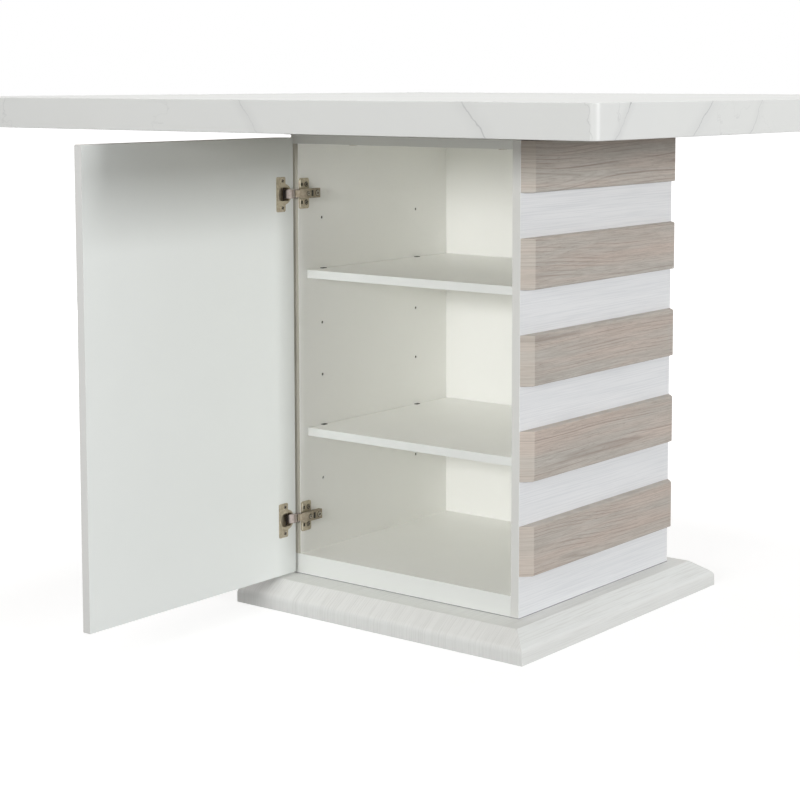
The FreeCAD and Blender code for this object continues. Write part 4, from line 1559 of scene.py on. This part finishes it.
@dataclass
class Plinth:
    """The moulded plinth, its core rails, bottom board and bolts."""

    shop: Workshop

    def build(self) -> None:
        """Dresses the plinth's pieces."""
        self.shop.dress(["base_plinth"], PLINTH, PLINTH_EDGE)
        self.shop.dress(["base_core_rails"], RAW, SHARP_EDGE)
        self.shop.dress(["base_bottom_board"], BACKING, SHARP_EDGE)
        self.shop.dress(["base_bolts"], ZINC, METAL_EDGE)


@dataclass(frozen=True)
class Lamp:
    """One soft rectangular lamp."""

    title: str
    place: Triple
    target: Triple
    size: Pair
    power: float
    colour: Triple = (1.0, 1.0, 1.0)

    def build(self) -> None:
        """Makes the lamp and turns it to its target."""
        light = bpy.data.lights.new(self.title, "AREA")
        light.shape = "RECTANGLE"
        light.size, light.size_y = self.size
        light.energy = self.power
        light.color = self.colour
        lamp = bpy.data.objects.new(self.title, light)
        lamp.location = self.place
        aim = Vector(self.target) - Vector(self.place)
        lamp.rotation_euler = aim.to_track_quat("-Z", "Y").to_euler()
        bpy.context.scene.collection.objects.link(lamp)


@dataclass
class Studio:
    """The floor, the even surroundings, the lamps and the camera."""

    floor_reach: float = 40.0
    floor_colour: Colour = (0.44, 0.44, 0.44, 1.0)
    floor_glow: float = 0.72
    glow_fade: Span = (0.7, 2.4)
    white: Colour = (1.0, 1.0, 1.0, 1.0)
    ambient: float = 0.42
    ambient_colour: Colour = (1.0, 0.985, 0.955, 1.0)
    light_bounces: int = 12
    camera_place: Triple = (2.01812, -2.76444, 0.94444)
    camera_turn: float = 37.603
    camera_dip: float = 5.815
    focal_pixels: float = 1894.75
    picture_pixels: float = 800.0
    shift: Pair = (-0.04, -0.16)
    seen_span: Span = (0.05, 200.0)
    lamps: Tuple[Lamp, ...] = (
        Lamp("front_lamp", (0.50, -4.6, 1.42), (0.1, 0.0, 0.9), (2.0, 0.5), 96.0,
             (0.99, 0.995, 1.0)),
        Lamp("right_lamp", (16.0, 0.42, 3.05), (0.0, 0.0, 0.9), (2.3, 2.2), 1300.0,
             (0.98, 0.99, 1.0)),
        Lamp("top_lamp", (0.0, 0.0, 4.2), (0.0, 0.0, 0.9), (1.6, 1.6), 50.0),
        Lamp("rear_lamp", (-0.6, 4.6, 0.62), (0.0, 0.0, 0.5), (2.0, 0.4), 85.0),
        Lamp("left_lamp", (-4.4, 2.0, 0.62), (0.0, 0.0, 0.5), (1.5, 0.4), 45.0),
    )

    @staticmethod
    def seen(graph: Graph) -> Socket:
        """Finds the rays that the background is seen by.

        Args:
            graph: The graph of the floor or of the surroundings.

        Returns:
            1 for rays of the camera, of gloss and of glass.
        """
        path = graph.add("ShaderNodeLightPath")
        first = graph.math("MAXIMUM", path.outputs["Is Camera Ray"], path.outputs["Is Glossy Ray"])
        return graph.math("MAXIMUM", first, path.outputs["Is Transmission Ray"])

    def floor(self) -> None:
        """Makes the pale floor, which keeps the table's shadow."""
        mesh = bmesh.new()
        ways, reach = [(-1, -1), (1, -1), (1, 1), (-1, 1)], self.floor_reach
        mesh.faces.new([mesh.verts.new((x * reach, y * reach, 0.0)) for x, y in ways])
        floor = Former.finish("studio_floor", mesh)
        made = bpy.data.materials.new("studio_floor_finish")
        made.use_nodes = True
        made.node_tree.nodes.clear()
        graph = Graph(made.node_tree)
        matt = graph.add("ShaderNodeBsdfDiffuse", {"Color": self.floor_colour})
        glow = graph.add("ShaderNodeEmission", {"Color": self.white})
        place = graph.add("ShaderNodeTexCoord").outputs["Object"]
        away = graph.vector("LENGTH", place).outputs["Value"]
        level = graph.remap(away, *self.glow_fade, self.floor_glow, 1.0)
        graph.feed(glow.inputs["Strength"], graph.times(self.seen(graph), level))
        both = graph.add("ShaderNodeAddShader", {0: matt.outputs[0], 1: glow.outputs[0]})
        graph.add("ShaderNodeOutputMaterial", {"Surface": both.outputs[0]})
        floor.data.materials.append(made)

    def surroundings(self) -> None:
        """Makes the even light from all round, white where it is seen."""
        world = bpy.data.worlds.new("studio_world")
        world.use_nodes = True
        world.node_tree.nodes.clear()
        graph = Graph(world.node_tree)
        even, white = (
            graph.add("ShaderNodeBackground", {"Color": colour, "Strength": strength}).outputs[0]
            for colour, strength in ((self.ambient_colour, self.ambient), (self.white, 1.0))
        )
        mixed = graph.add("ShaderNodeMixShader", {0: self.seen(graph), 1: even, 2: white})
        graph.add("ShaderNodeOutputWorld", {"Surface": mixed.outputs[0]})
        bpy.context.scene.world = world

    def camera(self) -> None:
        """Makes the camera at the photograph's viewing angle."""
        data = bpy.data.cameras.new("camera")
        data.sensor_fit = "HORIZONTAL"
        data.lens = self.focal_pixels / self.picture_pixels * data.sensor_width
        data.shift_x, data.shift_y = self.shift
        data.clip_start, data.clip_end = self.seen_span
        camera = bpy.data.objects.new("camera", data)
        camera.location = self.camera_place
        turn = (90.0 - self.camera_dip, 0.0, self.camera_turn)
        camera.rotation_euler = [math.radians(angle) for angle in turn]
        bpy.context.scene.collection.objects.link(camera)
        bpy.context.scene.camera = camera

    def build(self) -> None:
        """Makes the whole studio."""
        self.camera()
        self.floor()
        self.surroundings()
        for lamp in self.lamps:
            lamp.build()
        bpy.context.scene.view_settings.view_transform = "Standard"
        bpy.context.scene.cycles.diffuse_bounces = self.light_bounces
        LOG.info("made the studio with %d lamps", len(self.lamps))


def clear_scene() -> None:
    """Removes Blender's starting objects."""
    for piece in list(bpy.context.scene.objects):
        bpy.data.objects.remove(piece)


def main() -> None:
    """Loads the frame and builds the looks around it."""
    logging.basicConfig(level=logging.INFO, format="%(name)s: %(message)s")
    clear_scene()
    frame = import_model()
    shop = Workshop(frame)
    for kind in (TableTop, Column, Shelves, Slats, Door, Hinges, Plinth):
        kind(shop).build()
        LOG.info("finished %s", kind.__name__)
    Studio().build()
    bpy.context.view_layer.update()


if __name__ == "__main__":
    main()
